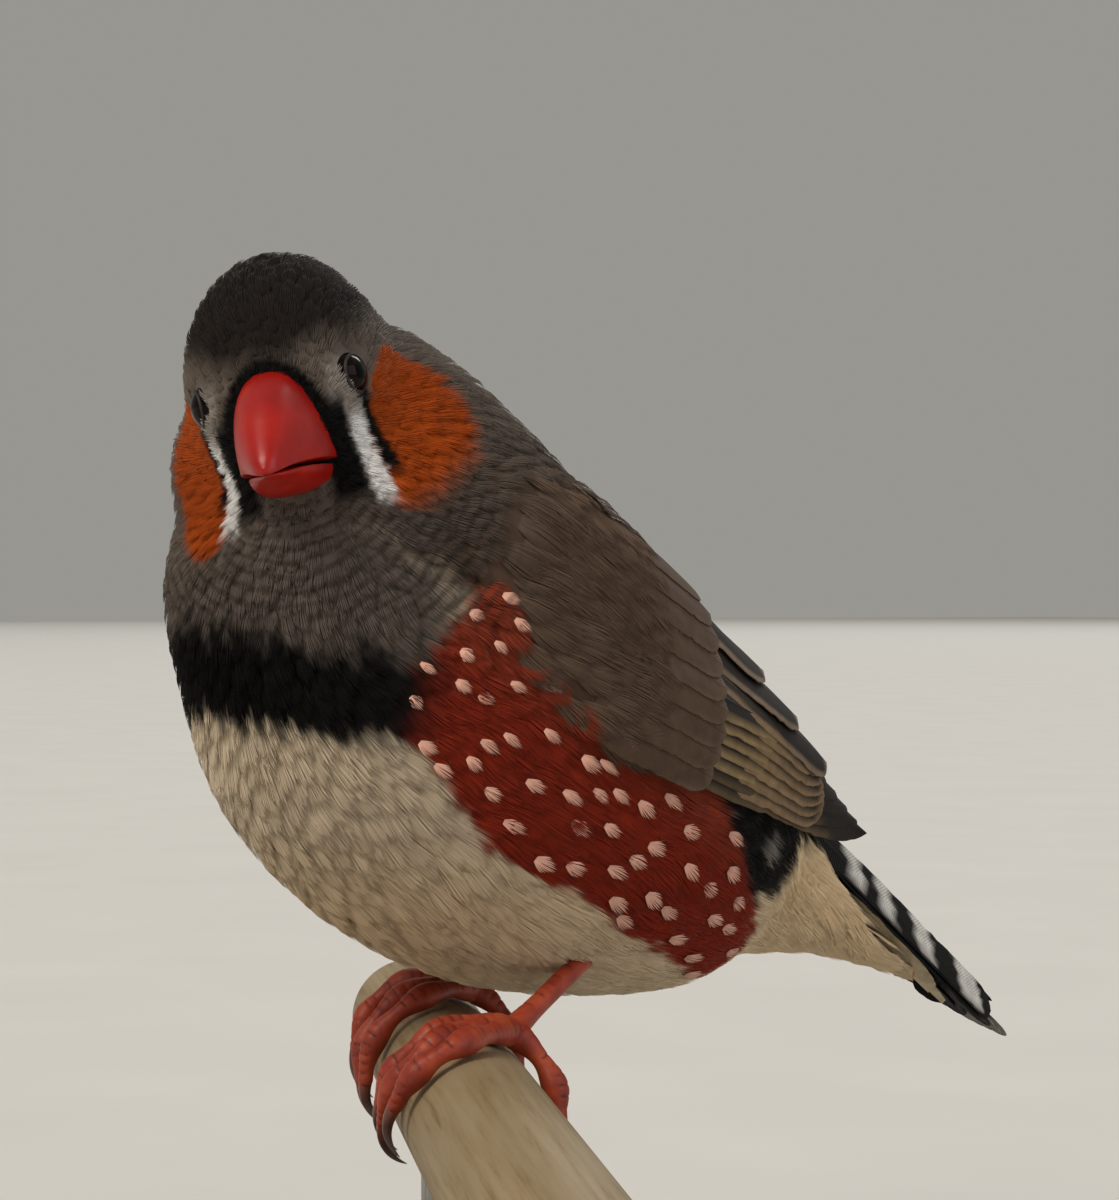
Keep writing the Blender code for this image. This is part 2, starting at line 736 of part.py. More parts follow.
def toe_path(places, steps):
    path = []
    for k in range(steps + 1):
        along, angle = smooth_through(places, k * (len(places) - 1) / steps)
        path.append(perch_point(along, angle, PERCH_RADIUS + GAP + TOE_RADIUS + KNUCKLE))
    return path


def toe_radii(steps, joints):
    """Pads that swell at the joints and narrow between them."""
    radii = []
    for k in range(steps + 1):
        u = k / steps
        swell = KNUCKLE * math.cos(2 * math.pi * joints * (u - 0.08))
        end = 1.0 - 0.35 * max(0.0, (u - 0.85) / 0.15) ** 2
        radii.append((TOE_RADIUS * (1.08 - 0.16 * u) + swell) * end)
    return radii


def claw(name, places):
    """A hooked cone that carries on from the toe's end, off the dowel."""
    along, angle = places[-1]
    near = places[-2]
    slide = (along - near[0]) / max(abs(angle - near[1]), 1.0)
    direction = 1.0 if angle > near[1] else -1.0
    reach = PERCH_RADIUS + GAP + TOE_RADIUS
    start = math.degrees((TOE_RADIUS + GAP) / reach) * 0.75
    sweep = math.degrees(CLAW_LENGTH / reach)
    points, radii = [], []
    for k in range(5):
        u = k / 4
        turn = start + sweep * u
        off = reach + 0.25 + 0.5 * math.sin(math.pi * u) - 0.35 * u
        points.append(perch_point(along + slide * turn, angle + direction * turn, off))
        radii.append(CLAW_RADIUS * (1 - 0.86 * u))
    return tube(name, points, radii, 7)


def make_feet(flesh):
    nodes = {}
    for side, toes in FEET.items():
        pieces = []
        for toe, places in toes.items():
            steps = 9 if toe != "hind" else 7
            joints = 3 if toe != "hind" else 2
            pieces.append(tube(toe, toe_path(places, steps), toe_radii(steps, joints), 7))
            name = f"claw_{side}_{toe}"
            nodes[name] = claw(name, places)
        root = toes["middle"][0]
        joint = perch_point(*root, PERCH_RADIUS + GAP + TOE_RADIUS + 0.35)
        pieces.append(ball("pad", joint, (1.35, 1.35, 1.2), Matrix.Identity(4), 12, 8))
        foot = pieces[-1]
        foot.name = f"foot_{side}"
        combine(foot, "UNION", pieces[:-1])
        keep_largest(foot)
        nodes[foot.name] = foot
        top = Vector(LEG_TOPS[side])
        ahead = (top - joint).normalized()
        points = [joint + ahead * (top - joint).length * u / 4 for u in range(5)]
        leg = tube(f"leg_{side}", points, [TARSUS_RADIUS * w for w in (1.15, 1.0, 0.97, 1.0, 1.15)], 10)
        cut_clear(leg, flesh)
        cut_clear(leg, foot)
        nodes[leg.name] = leg
    return nodes


def cylinder(name, radius, depth, matrix, segments, bevel):
    bm = bmesh.new()
    bmesh.ops.create_cone(bm, cap_ends=True, segments=segments, radius1=radius, radius2=radius, depth=depth)
    if bevel:
        rims = [edge for edge in bm.edges if abs(edge.verts[0].co.z - edge.verts[1].co.z) < 1e-4]
        bmesh.ops.bevel(bm, geom=rims, offset=bevel, segments=2, profile=0.5, affect="EDGES")
    bmesh.ops.transform(bm, matrix=matrix, verts=bm.verts)
    return new_object(name, bm)


def perch_matrix(along):
    turn = Matrix.Rotation(math.radians(PERCH_TURN), 4, "Z")
    lie = Matrix.Rotation(math.pi / 2, 4, "Y")
    return Matrix.Translation(PERCH_MIDDLE) @ turn @ Matrix.Translation((along, 0, 0)) @ lie


def make_stand():
    length = PERCH_NEAR_END - PERCH_FAR_END
    middle = perch_matrix((PERCH_NEAR_END + PERCH_FAR_END) / 2)
    nodes = {"perch": cylinder("perch", PERCH_RADIUS, length, middle, 32, PERCH_CHAMFER)}
    down = Matrix.Translation((0, 0, BASE_THICKNESS / 2 - PERCH_HEIGHT))
    nodes["stand_base"] = cylinder("stand_base", BASE_RADIUS, BASE_THICKNESS, down, 56, BASE_BEVEL)
    foot = BASE_THICKNESS - PERCH_HEIGHT + GAP
    for name, along in ROD_PLACES.items():
        place = perch_point(along, 0, 0)
        centre = Matrix.Translation((place.x, place.y, foot / 2))
        rod = cylinder(f"stand_rod_{name}", ROD_RADIUS, -foot, centre, 20, 0)
        groove = cylinder("groove", PERCH_RADIUS + GAP, 30.0, perch_matrix(along), 36, 0)
        combine(rod, "DIFFERENCE", [groove])
        keep_largest(rod)
        nodes[rod.name] = rod
    return nodes


def material_for(name):
    starts = {
        "head": "grey_plumage",
        "neck": "grey_plumage",
        "torso": "white_plumage",
        "rump": "white_plumage",
        "wing": "brown_plumage",
        "tail": "black_plumage",
        "bill": "red_bill",
        "eye": "dark_eye",
        "leg": "orange_skin",
        "foot": "orange_skin",
        "claw": "horn_claw",
        "perch": "dowel_wood",
        "stand_base": "stand_paint",
        "stand_rod": "stand_steel",
    }
    return next(material for start, material in starts.items() if name.startswith(start))


def settle(nodes):
    """Stands the nodes on the base, in metres, each with its origin at its own middle."""
    whole = bpy.data.objects.new("zebra_finch", None)
    bpy.context.scene.collection.objects.link(whole)
    group = bpy.data.collections.new("zebra_finch")
    bpy.context.scene.collection.children.link(group)
    materials = {}
    for name, obj in nodes.items():
        obj.data.transform(Matrix.Scale(MM, 4) @ Matrix.Translation((0, 0, PERCH_HEIGHT)))
        corners = [Vector(corner) for corner in obj.bound_box]
        middle = (corners[0] + corners[6]) / 2
        obj.data.transform(Matrix.Translation(-middle))
        obj.location = middle
        obj.parent = whole
        kind = material_for(name)
        if kind not in materials:
            materials[kind] = make_material(kind)
        obj.data.materials.clear()
        obj.data.materials.append(materials[kind])
        obj.data.shade_smooth()
        obj.data.set_sharp_from_angle(angle=math.radians(35))
        bpy.context.scene.collection.objects.unlink(obj)
        group.objects.link(obj)


def main():
    clear_scene()
    flesh = make_flesh()
    nodes = part_flesh(flesh)
    finish_head(nodes["head"])
    nodes.update(make_eyes())
    nodes.update(make_bill(flesh))
    coarse = coarse_copy(flesh)
    nodes.update(make_wings(flesh, coarse))
    nodes["tail"] = make_tail(coarse)
    remove_object(coarse)
    nodes.update(make_feet(flesh))
    for side in FEET:
        cut_clear(nodes["torso"], nodes[f"foot_{side}"])
    nodes.update(make_stand())
    remove_object(flesh)
    settle(nodes)


main()
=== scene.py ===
# %% [markdown]
# # A male zebra finch on a display stand
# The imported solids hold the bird's true sizes, and every point here is in the same place as
# there. This script gives them their looks: skin, plumage, flight feathers, horn, wood and steel.
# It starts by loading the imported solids, which also say how high the dowel lies.

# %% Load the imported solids
import itertools
import math

import bmesh
import bpy
import numpy as np
from mathutils import Matrix, Vector
from mathutils.bvhtree import BVHTree


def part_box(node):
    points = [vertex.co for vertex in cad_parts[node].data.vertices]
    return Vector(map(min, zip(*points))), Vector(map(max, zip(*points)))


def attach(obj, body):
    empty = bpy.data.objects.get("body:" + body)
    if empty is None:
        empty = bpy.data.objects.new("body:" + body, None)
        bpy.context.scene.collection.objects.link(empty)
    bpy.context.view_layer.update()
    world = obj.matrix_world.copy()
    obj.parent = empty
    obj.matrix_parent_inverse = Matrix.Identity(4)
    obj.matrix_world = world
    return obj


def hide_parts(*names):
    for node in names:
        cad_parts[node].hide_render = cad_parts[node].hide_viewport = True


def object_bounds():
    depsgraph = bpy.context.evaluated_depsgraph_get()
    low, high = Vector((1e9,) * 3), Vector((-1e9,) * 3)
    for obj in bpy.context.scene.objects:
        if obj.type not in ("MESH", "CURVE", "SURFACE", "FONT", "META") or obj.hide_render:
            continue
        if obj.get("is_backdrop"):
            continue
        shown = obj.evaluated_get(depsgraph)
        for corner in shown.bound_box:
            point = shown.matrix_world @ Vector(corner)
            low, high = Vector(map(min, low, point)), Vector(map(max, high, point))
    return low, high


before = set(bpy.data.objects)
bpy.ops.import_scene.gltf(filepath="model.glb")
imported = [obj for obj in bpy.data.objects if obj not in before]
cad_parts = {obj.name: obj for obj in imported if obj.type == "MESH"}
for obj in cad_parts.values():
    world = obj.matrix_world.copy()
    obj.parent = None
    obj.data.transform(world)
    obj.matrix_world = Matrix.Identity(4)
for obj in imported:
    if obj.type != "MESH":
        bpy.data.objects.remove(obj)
CAD_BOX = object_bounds()
MM = 0.001
perch_low, perch_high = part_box("perch")
PERCH_HEIGHT = (perch_low.z + perch_high.z) / 2 / MM
SETTLE = Matrix.Translation((0, 0, PERCH_HEIGHT * MM)) @ Matrix.Scale(MM, 4)
SIDES = {"left": 1.0, "right": -1.0}
print("solids:", len(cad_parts), "dowel axis at", round(PERCH_HEIGHT, 2), "mm")

# %% [markdown]
# Shapes are worked out in bird space: millimetres, with heights above the dowel's axis, the bird
# facing -Y and its left side at +X. A finished piece is turned into metres in one step, its object
# is left at the origin, and it rides on the model's only body.

# %% Helpers that finish a piece
def finish(obj, material, replaces=()):
    """Turns a piece from bird space into metres and gives it its finish and its place in the model."""
    obj.data.transform(SETTLE)
    obj.data.materials.clear()
    obj.data.materials.append(material)
    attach(obj, "root")
    if replaces:
        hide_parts(*replaces)
    print(obj.name, len(obj.data.polygons), "faces")
    return obj


def object_of(name, mesh):
    mesh.shade_smooth()
    obj = bpy.data.objects.new(name, mesh)
    bpy.context.scene.collection.objects.link(obj)
    return obj


def object_from(name, bm):
    mesh = bpy.data.meshes.new(name)
    bm.to_mesh(mesh)
    bm.free()
    return object_of(name, mesh)


def apply_modifiers(obj):
    bpy.context.view_layer.update()
    graph = bpy.context.evaluated_depsgraph_get()
    mesh = bpy.data.meshes.new_from_object(obj.evaluated_get(graph))
    obj.modifiers.clear()
    old = obj.data
    obj.data = mesh
    bpy.data.meshes.remove(old)
    obj.data.shade_smooth()


def smoothstep(low, high, values):
    share = np.clip((values - low) / (high - low), 0.0, 1.0)
    return share * share * (3.0 - 2.0 * share)


def smooth_through(rows, place):
    """The values at a place, counted in rows, on a Catmull-Rom curve through the rows."""
    last = len(rows) - 1
    place = min(max(place, 0.0), float(last))
    i = min(int(place), last - 1)
    f = place - i
    picked = rows[max(i - 1, 0)], rows[i], rows[i + 1], rows[min(i + 2, last)]
    values = []
    for a, b, c, d in zip(*picked):
        curve = 2 * b + (c - a) * f + (2 * a - 5 * b + 4 * c - d) * f**2
        values.append(0.5 * (curve + (3 * b - a - 3 * c + d) * f**3))
    return values


# %% [markdown]
# The camera stands where the photograph was taken from: level with the bird's neck, 55 degrees
# round from its front towards its left side, and 230 mm away. The focal length is the one that
# makes the bird fill the frame as it does there, on a sensor 36 mm high.

# %% Place the camera
PHOTO_WIDTH, PHOTO_HEIGHT = 1119, 1200
FOCAL_PIXELS = 2760.0
CAMERA_AZIMUTH = math.radians(55.0)
CAMERA_DISTANCE = 230.0
DOWEL_PIXEL = (465.0, 1080.0)
SENSOR_HEIGHT = 36.0
CLIP_START = 5.0
right = Vector((math.cos(CAMERA_AZIMUTH), math.sin(CAMERA_AZIMUTH), 0))
forward = Vector((-math.sin(CAMERA_AZIMUTH), math.cos(CAMERA_AZIMUTH), 0))
pixel_size = CAMERA_DISTANCE / FOCAL_PIXELS
eye_point = (
    -forward * CAMERA_DISTANCE
    + right * (PHOTO_WIDTH / 2 - DOWEL_PIXEL[0]) * pixel_size
    + Vector((0, 0, 1)) * (DOWEL_PIXEL[1] - PHOTO_HEIGHT / 2) * pixel_size
)
camera_data = bpy.data.cameras.new("camera")
camera_data.sensor_fit = "VERTICAL"
camera_data.sensor_height = SENSOR_HEIGHT
camera_data.lens = SENSOR_HEIGHT * FOCAL_PIXELS / PHOTO_HEIGHT
camera_data.clip_start = CLIP_START * MM
camera = bpy.data.objects.new("camera", camera_data)
camera.location = SETTLE @ eye_point
camera.rotation_euler = (math.pi / 2, 0, CAMERA_AZIMUTH)
bpy.context.scene.collection.objects.link(camera)
bpy.context.scene.camera = camera
print("camera at", [round(v, 4) for v in camera.location], "lens", round(camera_data.lens, 1), "mm")

# %% [markdown]
# Every material starts from plain words for its stuff. Three small helpers serve them all: one
# turns an sRGB hex colour into the linear numbers that shaders use, one links or sets sockets, and
# one adds a node with its settings and links.

# %% Helpers for materials
def linear(colour):
    parts = [int(colour[i : i + 2], 16) / 255 for i in (1, 3, 5)]
    return [p / 12.92 if p <= 0.04045 else ((p + 0.055) / 1.055) ** 2.4 for p in parts]


def rgba(colour):
    return (*linear(colour), 1.0)


def connect(node, sockets):
    """Links sockets to an output, or to a node's first output, and sets the others to a value."""
    for key, value in sockets.items():
        if isinstance(value, bpy.types.Node):
            value = value.outputs[0]
        if isinstance(value, bpy.types.NodeSocket):
            node.id_data.links.new(value, node.inputs[key])
        else:
            node.inputs[key].default_value = value


def add_node(tree, kind, sockets=None, stops=(), **settings):
    """Adds one node with its settings, its sockets and, on a colour ramp, its (place, hex) stops."""
    node = tree.nodes.new("ShaderNode" + kind)
    for key, value in settings.items():
        setattr(node, key, value)
    connect(node, sockets or {})
    if stops:
        elements = node.color_ramp.elements
        while len(elements) < len(stops):
            elements.new(0.5)
        for element, (place, colour) in zip(elements, stops):
            element.position = place
            element.color = rgba(colour)
    return node


def new_material(name, **sockets):
    """A material with a Principled shader whose plain settings are set on its own sockets."""
    material = bpy.data.materials.new(name)
    material.use_nodes = True
    shader = material.node_tree.nodes["Principled BSDF"]
    connect(shader, {key.replace("_", " "): value for key, value in sockets.items()})
    return material, material.node_tree, shader


# %% [markdown]
# The studio is plain: a pale floor with a pale world above it, a large soft light from the left as
# in the photograph, a weaker one from the right and one behind to catch the feathers' edges. Each
# light's row gives its azimuth in degrees, its height, distance and size in metres, its power in
# watts and its colour.

# %% Floor and lights
FLOOR_SIZE = 16.0
PAPER_GRAINS_PER_MM = 0.4
WORLD_STRENGTH = 0.5
LIGHT_AIM = Vector((0, 0, 0.06))
LIGHTS = {
    "key_light": (12.0, 6.3, 6.3, 3.9, 460.0, "#fff6ea"),
    "fill_light": (112.0, 3.6, 7.2, 5.4, 125.0, "#f1f4ff"),
    "back_light": (215.0, 5.7, 6.6, 3.6, 215.0, "#ffffff"),
}
bm = bmesh.new()
bmesh.ops.create_grid(bm, x_segments=1, y_segments=1, size=FLOOR_SIZE / 2)
floor = object_from("floor", bm)
paper, tree, shader = new_material("studio_paper", Roughness=0.9)
grain = add_node(tree, "TexNoise", {"Scale": PAPER_GRAINS_PER_MM / MM, "Detail": 3.0})
tint = add_node(tree, "ValToRGB", {"Fac": grain}, ((0.3, "#d2d0cb"), (0.7, "#d6d4cf")))
connect(shader, {"Base Color": tint})
floor.data.materials.append(paper)
floor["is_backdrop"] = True

world = bpy.data.worlds.new("studio")
world.use_nodes = True
connect(
    world.node_tree.nodes["Background"], {"Color": rgba("#cfcdc6"), "Strength": WORLD_STRENGTH}
)
bpy.context.scene.world = world
bpy.context.scene.view_settings.view_transform = "Standard"

for name, (azimuth, height, distance, size, power, colour) in LIGHTS.items():
    data = bpy.data.lights.new(name, "AREA")
    data.size = size
    data.energy = power
    data.color = linear(colour)
    light = bpy.data.objects.new(name, data)
    turn = math.radians(azimuth)
    light.location = (distance * math.sin(turn), -distance * math.cos(turn), height)
    aim = LIGHT_AIM - light.location
    light.rotation_euler = aim.to_track_quat("-Z", "Y").to_euler()
    bpy.context.scene.collection.objects.link(light)
print("lights:", ", ".join(LIGHTS))

# %% [markdown]
# The skin is one smooth surface under the whole plumage. It could be modelled again, but the
# solids of head, neck, torso and rump already have its form, parted only by thin cuts. Copies of
# them are swollen until they touch, joined with balls that fill the eye sockets, remeshed into one
# skin, smoothed, and drawn in by the depth of the coat, so that the feather tips end where the
# solids do.

# %% Make the skin
FLESH = ("head", "neck", "torso", "rump")
WELD = 0.002
SKIN_SWELL = 0.3
SKIN_VOXEL = 0.55
SKIN_ROUNDS = 14
COAT_DEPTH = 0.95
FACE_DEPTH = 0.5
FACE_TO_COAT = (5.0, 16.0)
HEAD_CENTRE = Vector((1.9, -17.3, 56.2))
HEAD_TURN = (
    Matrix.Rotation(math.radians(51.0), 4, "Z")
    @ Matrix.Rotation(math.radians(12.0), 4, "X")
    @ Matrix.Rotation(math.radians(-13.0), 4, "Y")
)
HEAD = Matrix.Translation(HEAD_CENTRE) @ HEAD_TURN
EYE_CENTRE = Vector((5.0, -5.9, 1.1))
EYE_AXIS = Vector((0.93, -0.36, 0.06)).normalized()
SOCKET_RADIUS = 2.4
BILL_BASE = HEAD @ Vector((0.0, -8.0, -1.6))


def node_copy(bm, node, swell):
    """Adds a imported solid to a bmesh, in bird space and welded, grown along its normals."""
    solid = bmesh.new()
    solid.from_mesh(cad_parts[node].data)
    bmesh.ops.transform(solid, matrix=SETTLE.inverted(), verts=solid.verts)
    bmesh.ops.remove_doubles(solid, verts=solid.verts, dist=WELD)
    solid.normal_update()
    moves = [(vert, vert.normal * swell) for vert in solid.verts]
    for vert, move in moves:
        vert.co += move
    mesh = bpy.data.meshes.new("part")
    solid.to_mesh(mesh)
    solid.free()
    bm.from_mesh(mesh)
    bpy.data.meshes.remove(mesh)


def remeshed(name, bm, voxel, rounds):
    """One closed even surface round everything in the bmesh, smoothed."""
    obj = object_from(name, bm)
    even = obj.modifiers.new("even", "REMESH")
    even.mode = "VOXEL"
    even.voxel_size = voxel
    smooth = obj.modifiers.new("smooth", "SMOOTH")
    smooth.factor = 0.5
    smooth.iterations = rounds
    apply_modifiers(obj)
    return obj


def points_of(mesh, what="co"):
    values = np.empty(len(mesh.vertices) * 3, np.float32)
    if what == "co":
        mesh.vertices.foreach_get("co", values)
    else:
        mesh.vertex_normals.foreach_get("vector", values)
    return values.reshape(-1, 3).astype(float)


def head_coordinates(points):
    """Points of bird space in the head's own frame: +X its left, -Y forward, +Z up."""
    turn = np.array(HEAD_TURN.to_3x3())
    return (points - np.array(HEAD_CENTRE)) @ turn


def coat_depth(points):
    """How deep the plumage is there: thin round the bill and eyes, full from the nape back."""
    away = np.linalg.norm(points - np.array(BILL_BASE), axis=1)
    return FACE_DEPTH + (COAT_DEPTH - FACE_DEPTH) * smoothstep(*FACE_TO_COAT, away)


bm = bmesh.new()
for node in FLESH:
    node_copy(bm, node, SKIN_SWELL)
for side in SIDES.values():
    mirrored = HEAD @ Matrix.Diagonal((side, 1.0, 1.0, 1.0))
    socket = mirrored @ Matrix.Translation(EYE_CENTRE)
    bmesh.ops.create_uvsphere(bm, u_segments=24, v_segments=16, radius=SOCKET_RADIUS, matrix=socket)
bmesh.ops.recalc_face_normals(bm, faces=bm.faces)
skin = remeshed("skin", bm, SKIN_VOXEL, SKIN_ROUNDS)
skin_points = points_of(skin.data)
skin_points -= points_of(skin.data, "normal") * (SKIN_SWELL + coat_depth(skin_points))[:, None]
skin.data.vertices.foreach_set("co", skin_points.ravel())
skin.data.update()
print("skin:", len(skin_points), "vertices")

# %% [markdown]
# A male zebra finch is known by its markings: chestnut cheeks, a white stripe edged with black
# beside the bill, fine dark bars on a grey throat, a black band on the breast, a cream belly and
# chestnut flanks with pale spots. They could be painted as a picture, but then skin and feathers
# would have to be matched by hand. One function of place serves both instead: it is asked for the
# colour at any point of bird space, and the answers are kept on the meshes as an attribute.

# %% Plumage colours
PLUMAGE = {
    "crown": "#251e1a",
    "grey": "#6e635a",
    "nape": "#574c44",
    "mantle": "#5a483b",
    "cheek": "#ad4b0f",
    "stripe": "#f6f5f4",
    "lores": "#9d948b",
    "black": "#080707",
    "bar": "#3b342f",
    "belly": "#d8c6ac",
    "breast_side": "#6a5f57",
    "flank": "#952b12",
    "flank_top": "#97422a",
    "spot": "#f0bda8",
    "rump": "#8d8276",
    "undertail": "#f6dcb4",
}
INK = {name: np.array(linear(colour)) for name, colour in PLUMAGE.items()}

# %% [markdown]
# Real markings have soft, uneven edges, because each one is made of many feather tips. A few
# crossing sine waves, drawn from a fixed seed, give a smooth unevenness that is the same each
# run. Every edge below is a pair of places between which the marking fades in.

# %% Smooth unevenness
WAVES = 7
WAVE_SIZES = (0.8, 1.9)
WAVES_TO_ONE = 3.2
BACK_AT_LEGS = 34.5
BACK_SLOPE = 0.62
BACK_CLIMB = 0.35
BACK_CLIMBS_FROM = 20.0
NECK_START = (-15.0, 37.4)
NECK_WAY = (-0.37, 0.93)


def unevenness(points, size, seed):
    """Values about -1 to 1 that wander over a distance of about the size, in millimetres."""
    draw = np.random.default_rng(seed)
    total = np.zeros(len(points))
    for _ in range(WAVES):
        way = draw.normal(size=3)
        way /= np.linalg.norm(way)
        pace = 2 * math.pi / (size * draw.uniform(*WAVE_SIZES))
        total += np.sin(points @ way * pace + draw.uniform(0, 2 * math.pi))
    return total / WAVES_TO_ONE


def back_height(y):
    """The height at which the brown back ends on the body's side; it climbs over the tail's root."""
    return BACK_AT_LEGS - BACK_SLOPE * y + BACK_CLIMB * np.maximum(0.0, y - BACK_CLIMBS_FROM)


def neck_height(y, z):
    """How far up the neck a place is, in millimetres from the shoulders."""
    return NECK_WAY[0] * (y - NECK_START[0]) + NECK_WAY[1] * (z - NECK_START[1])


def within(values, *edges):
    """Near 1 between two soft edges, each given as the two values between which it fades."""
    return smoothstep(*edges[:2], values) * (1 - smoothstep(*edges[2:], values))


def lay(colours, ink, mask):
    """Lays an ink over the colours where the mask is near 1."""
    colours += (INK[ink] - colours) * np.clip(mask, 0, 1)[:, None]


# %% [markdown]
# The flank's patch and the dark patch behind it are drawn as outlines seen from the side, as
# (y, z) points in millimetres. How far a point lies inside an outline gives its soft edge. The
# pale spots sit at the tips of every few flank feathers: their places are drawn at random, kept
# at least 2.3 mm apart, with a fixed seed. On the skin each is an oval along the lie of the
# feathers, and in the plumage it is the pale tip of one feather.

# %% Outlines and spots on the flank
FLANK_OUTLINE = (
    (-8.0, 42.5), (-11.0, 38.8), (-13.6, 35.6), (-15.6, 32.6), (-16.2, 30.6), (-13.4, 28.4),
    (-10.6, 25.0), (-7.6, 21.0), (-4.5, 18.8), (1.5, 16.2), (7.2, 12.8), (13.0, 10.2),
    (18.0, 8.0), (21.6, 7.6), (22.8, 10.4), (21.0, 13.8), (19.0, 17.0), (16.4, 21.6),
    (14.0, 27.0), (4.0, 32.0), (-3.0, 37.0),
)
PATCH_OUTLINE = (
    (13.2, 27.0), (15.8, 21.5), (18.0, 17.0), (20.6, 14.8), (24.0, 15.0), (26.6, 17.2),
    (28.2, 19.2), (33.3, 18.3), (38.7, 15.1), (44.0, 10.6), (46.0, 25.0),
)
SPOT_SEED = 4
SPOT_TRIES = 4000
SPOT_SPACING = 2.3
SPOT_INSET = 0.75
SPOT_SIZES = (0.8, 1.25)
SPOT_TURNS = 0.35
SPOT_LONG = 0.8
SPOT_WIDE = 0.52
SPOT_EDGE = (0.75, 1.25)
LIE_SLOPE = math.radians(-31.0)


def depth_inside(outline, places):
    """How far each (y, z) place lies inside a closed outline, and minus how far outside it."""
    corners = np.array(outline)
    ends = np.roll(corners, -1, axis=0)
    nearest = np.full(len(places), np.inf)
    inside = np.zeros(len(places), bool)
    for (ay, az), (by, bz) in zip(corners, ends):
        side = np.array((by - ay, bz - az))
        to = places - (ay, az)
        share = np.clip(to @ side / (side @ side), 0, 1)
        nearest = np.minimum(nearest, np.linalg.norm(to - share[:, None] * side, axis=1))
        if az != bz:
            crosses = (az > places[:, 1]) != (bz > places[:, 1])
            at_y = ay + (places[:, 1] - az) * (by - ay) / (bz - az)
            inside ^= crosses & (places[:, 0] < at_y)
    return np.where(inside, nearest, -nearest)


def flank_spots(seed):
    """(y, z, size, turn) of each pale spot, kept apart inside the flank's outline."""
    draw = np.random.default_rng(seed)
    low, high = np.min(FLANK_OUTLINE, axis=0), np.max(FLANK_OUTLINE, axis=0)
    tries = draw.uniform(low, high, size=(SPOT_TRIES, 2))
    tries = tries[depth_inside(FLANK_OUTLINE, tries) > SPOT_INSET]
    spots = []
    for place in tries:
        if all(np.hypot(*(place - spot[:2])) > SPOT_SPACING for spot in spots):
            spots.append((*place, draw.uniform(*SPOT_SIZES), draw.normal(0, SPOT_TURNS)))
    return np.array(spots)


SPOTS = flank_spots(SPOT_SEED)
print("flank spots on each side:", len(SPOTS))


def spot_mask(places):
    """Near 1 on a spot, seen from the side."""
    mask = np.zeros(len(places))
    for y, z, size, turn in SPOTS:
        to = places - (y, z)
        angle = LIE_SLOPE + turn
        along = to[:, 0] * math.cos(angle) + to[:, 1] * math.sin(angle)
        across = -to[:, 0] * math.sin(angle) + to[:, 1] * math.cos(angle)
        reach = np.hypot(along / (SPOT_LONG * size), across / (SPOT_WIDE * size))
        mask = np.maximum(mask, 1 - smoothstep(*SPOT_EDGE, reach))
    return mask


# %% [markdown]
# The face is marked by the angle round the head's upright axis, in degrees from straight ahead,
# and by the height in the head's frame. So the cheek patch is an oval that leans forward at its
# foot, the white stripe stands in front of it between two black edges, and black fills the strip
# between stripe and bill.

# %% The markings of the face
FACE_MIDDLE = (0, 0, -2.0)
FACE_END = (13.5, 16.0)
CROWN_EDGE = (0.2, 4.2)
CROWN_TILT = 0.10
CROWN_ROUND = 0.32
CROWN_PALES = (2.0, 9.0)
CROWN_PALES_BY = 0.45
LORES_ANGLES = (24, 29, 40, 47)
LORES_HEIGHTS = (-4.0, -2.0, 1.6, 3.6)
CHEEK_ANGLE, CHEEK_LEAN, CHEEK_HALF = 74, 2.3, 25
CHEEK_HEIGHT, CHEEK_RISE = -3.9, 6.3
CHEEK_EDGE = (-2.5, 1.5)
STRIPE_ANGLE, STRIPE_LEAN, STRIPE_AT = 38.0, 0.3, -3.0
STRIPE_EDGE = (3.6, 5.0)
STRIPE_HEIGHTS = (-9.2, -7.8, -2.6, -0.8)
TEAR_BEHIND = 7.2
TEAR_EDGE = (2.0, 3.4)
TEAR_HEIGHTS = (-7.5, -6.0, 0.2, 1.6)
BILL_OVAL = (3.9, 1.9, 5.4)
BILL_FRONT = -5.0
BILL_EDGE = (1.05, 1.15)
BILL_RIM_FOOT = (-6.4, -4.8)
BESIDE_ANGLES = (31.0, 34.0)
BESIDE_HEIGHTS = (-8.4, -7.0, -1.0, 1.0)
BESIDE_FROM = (2.5, 3.3)


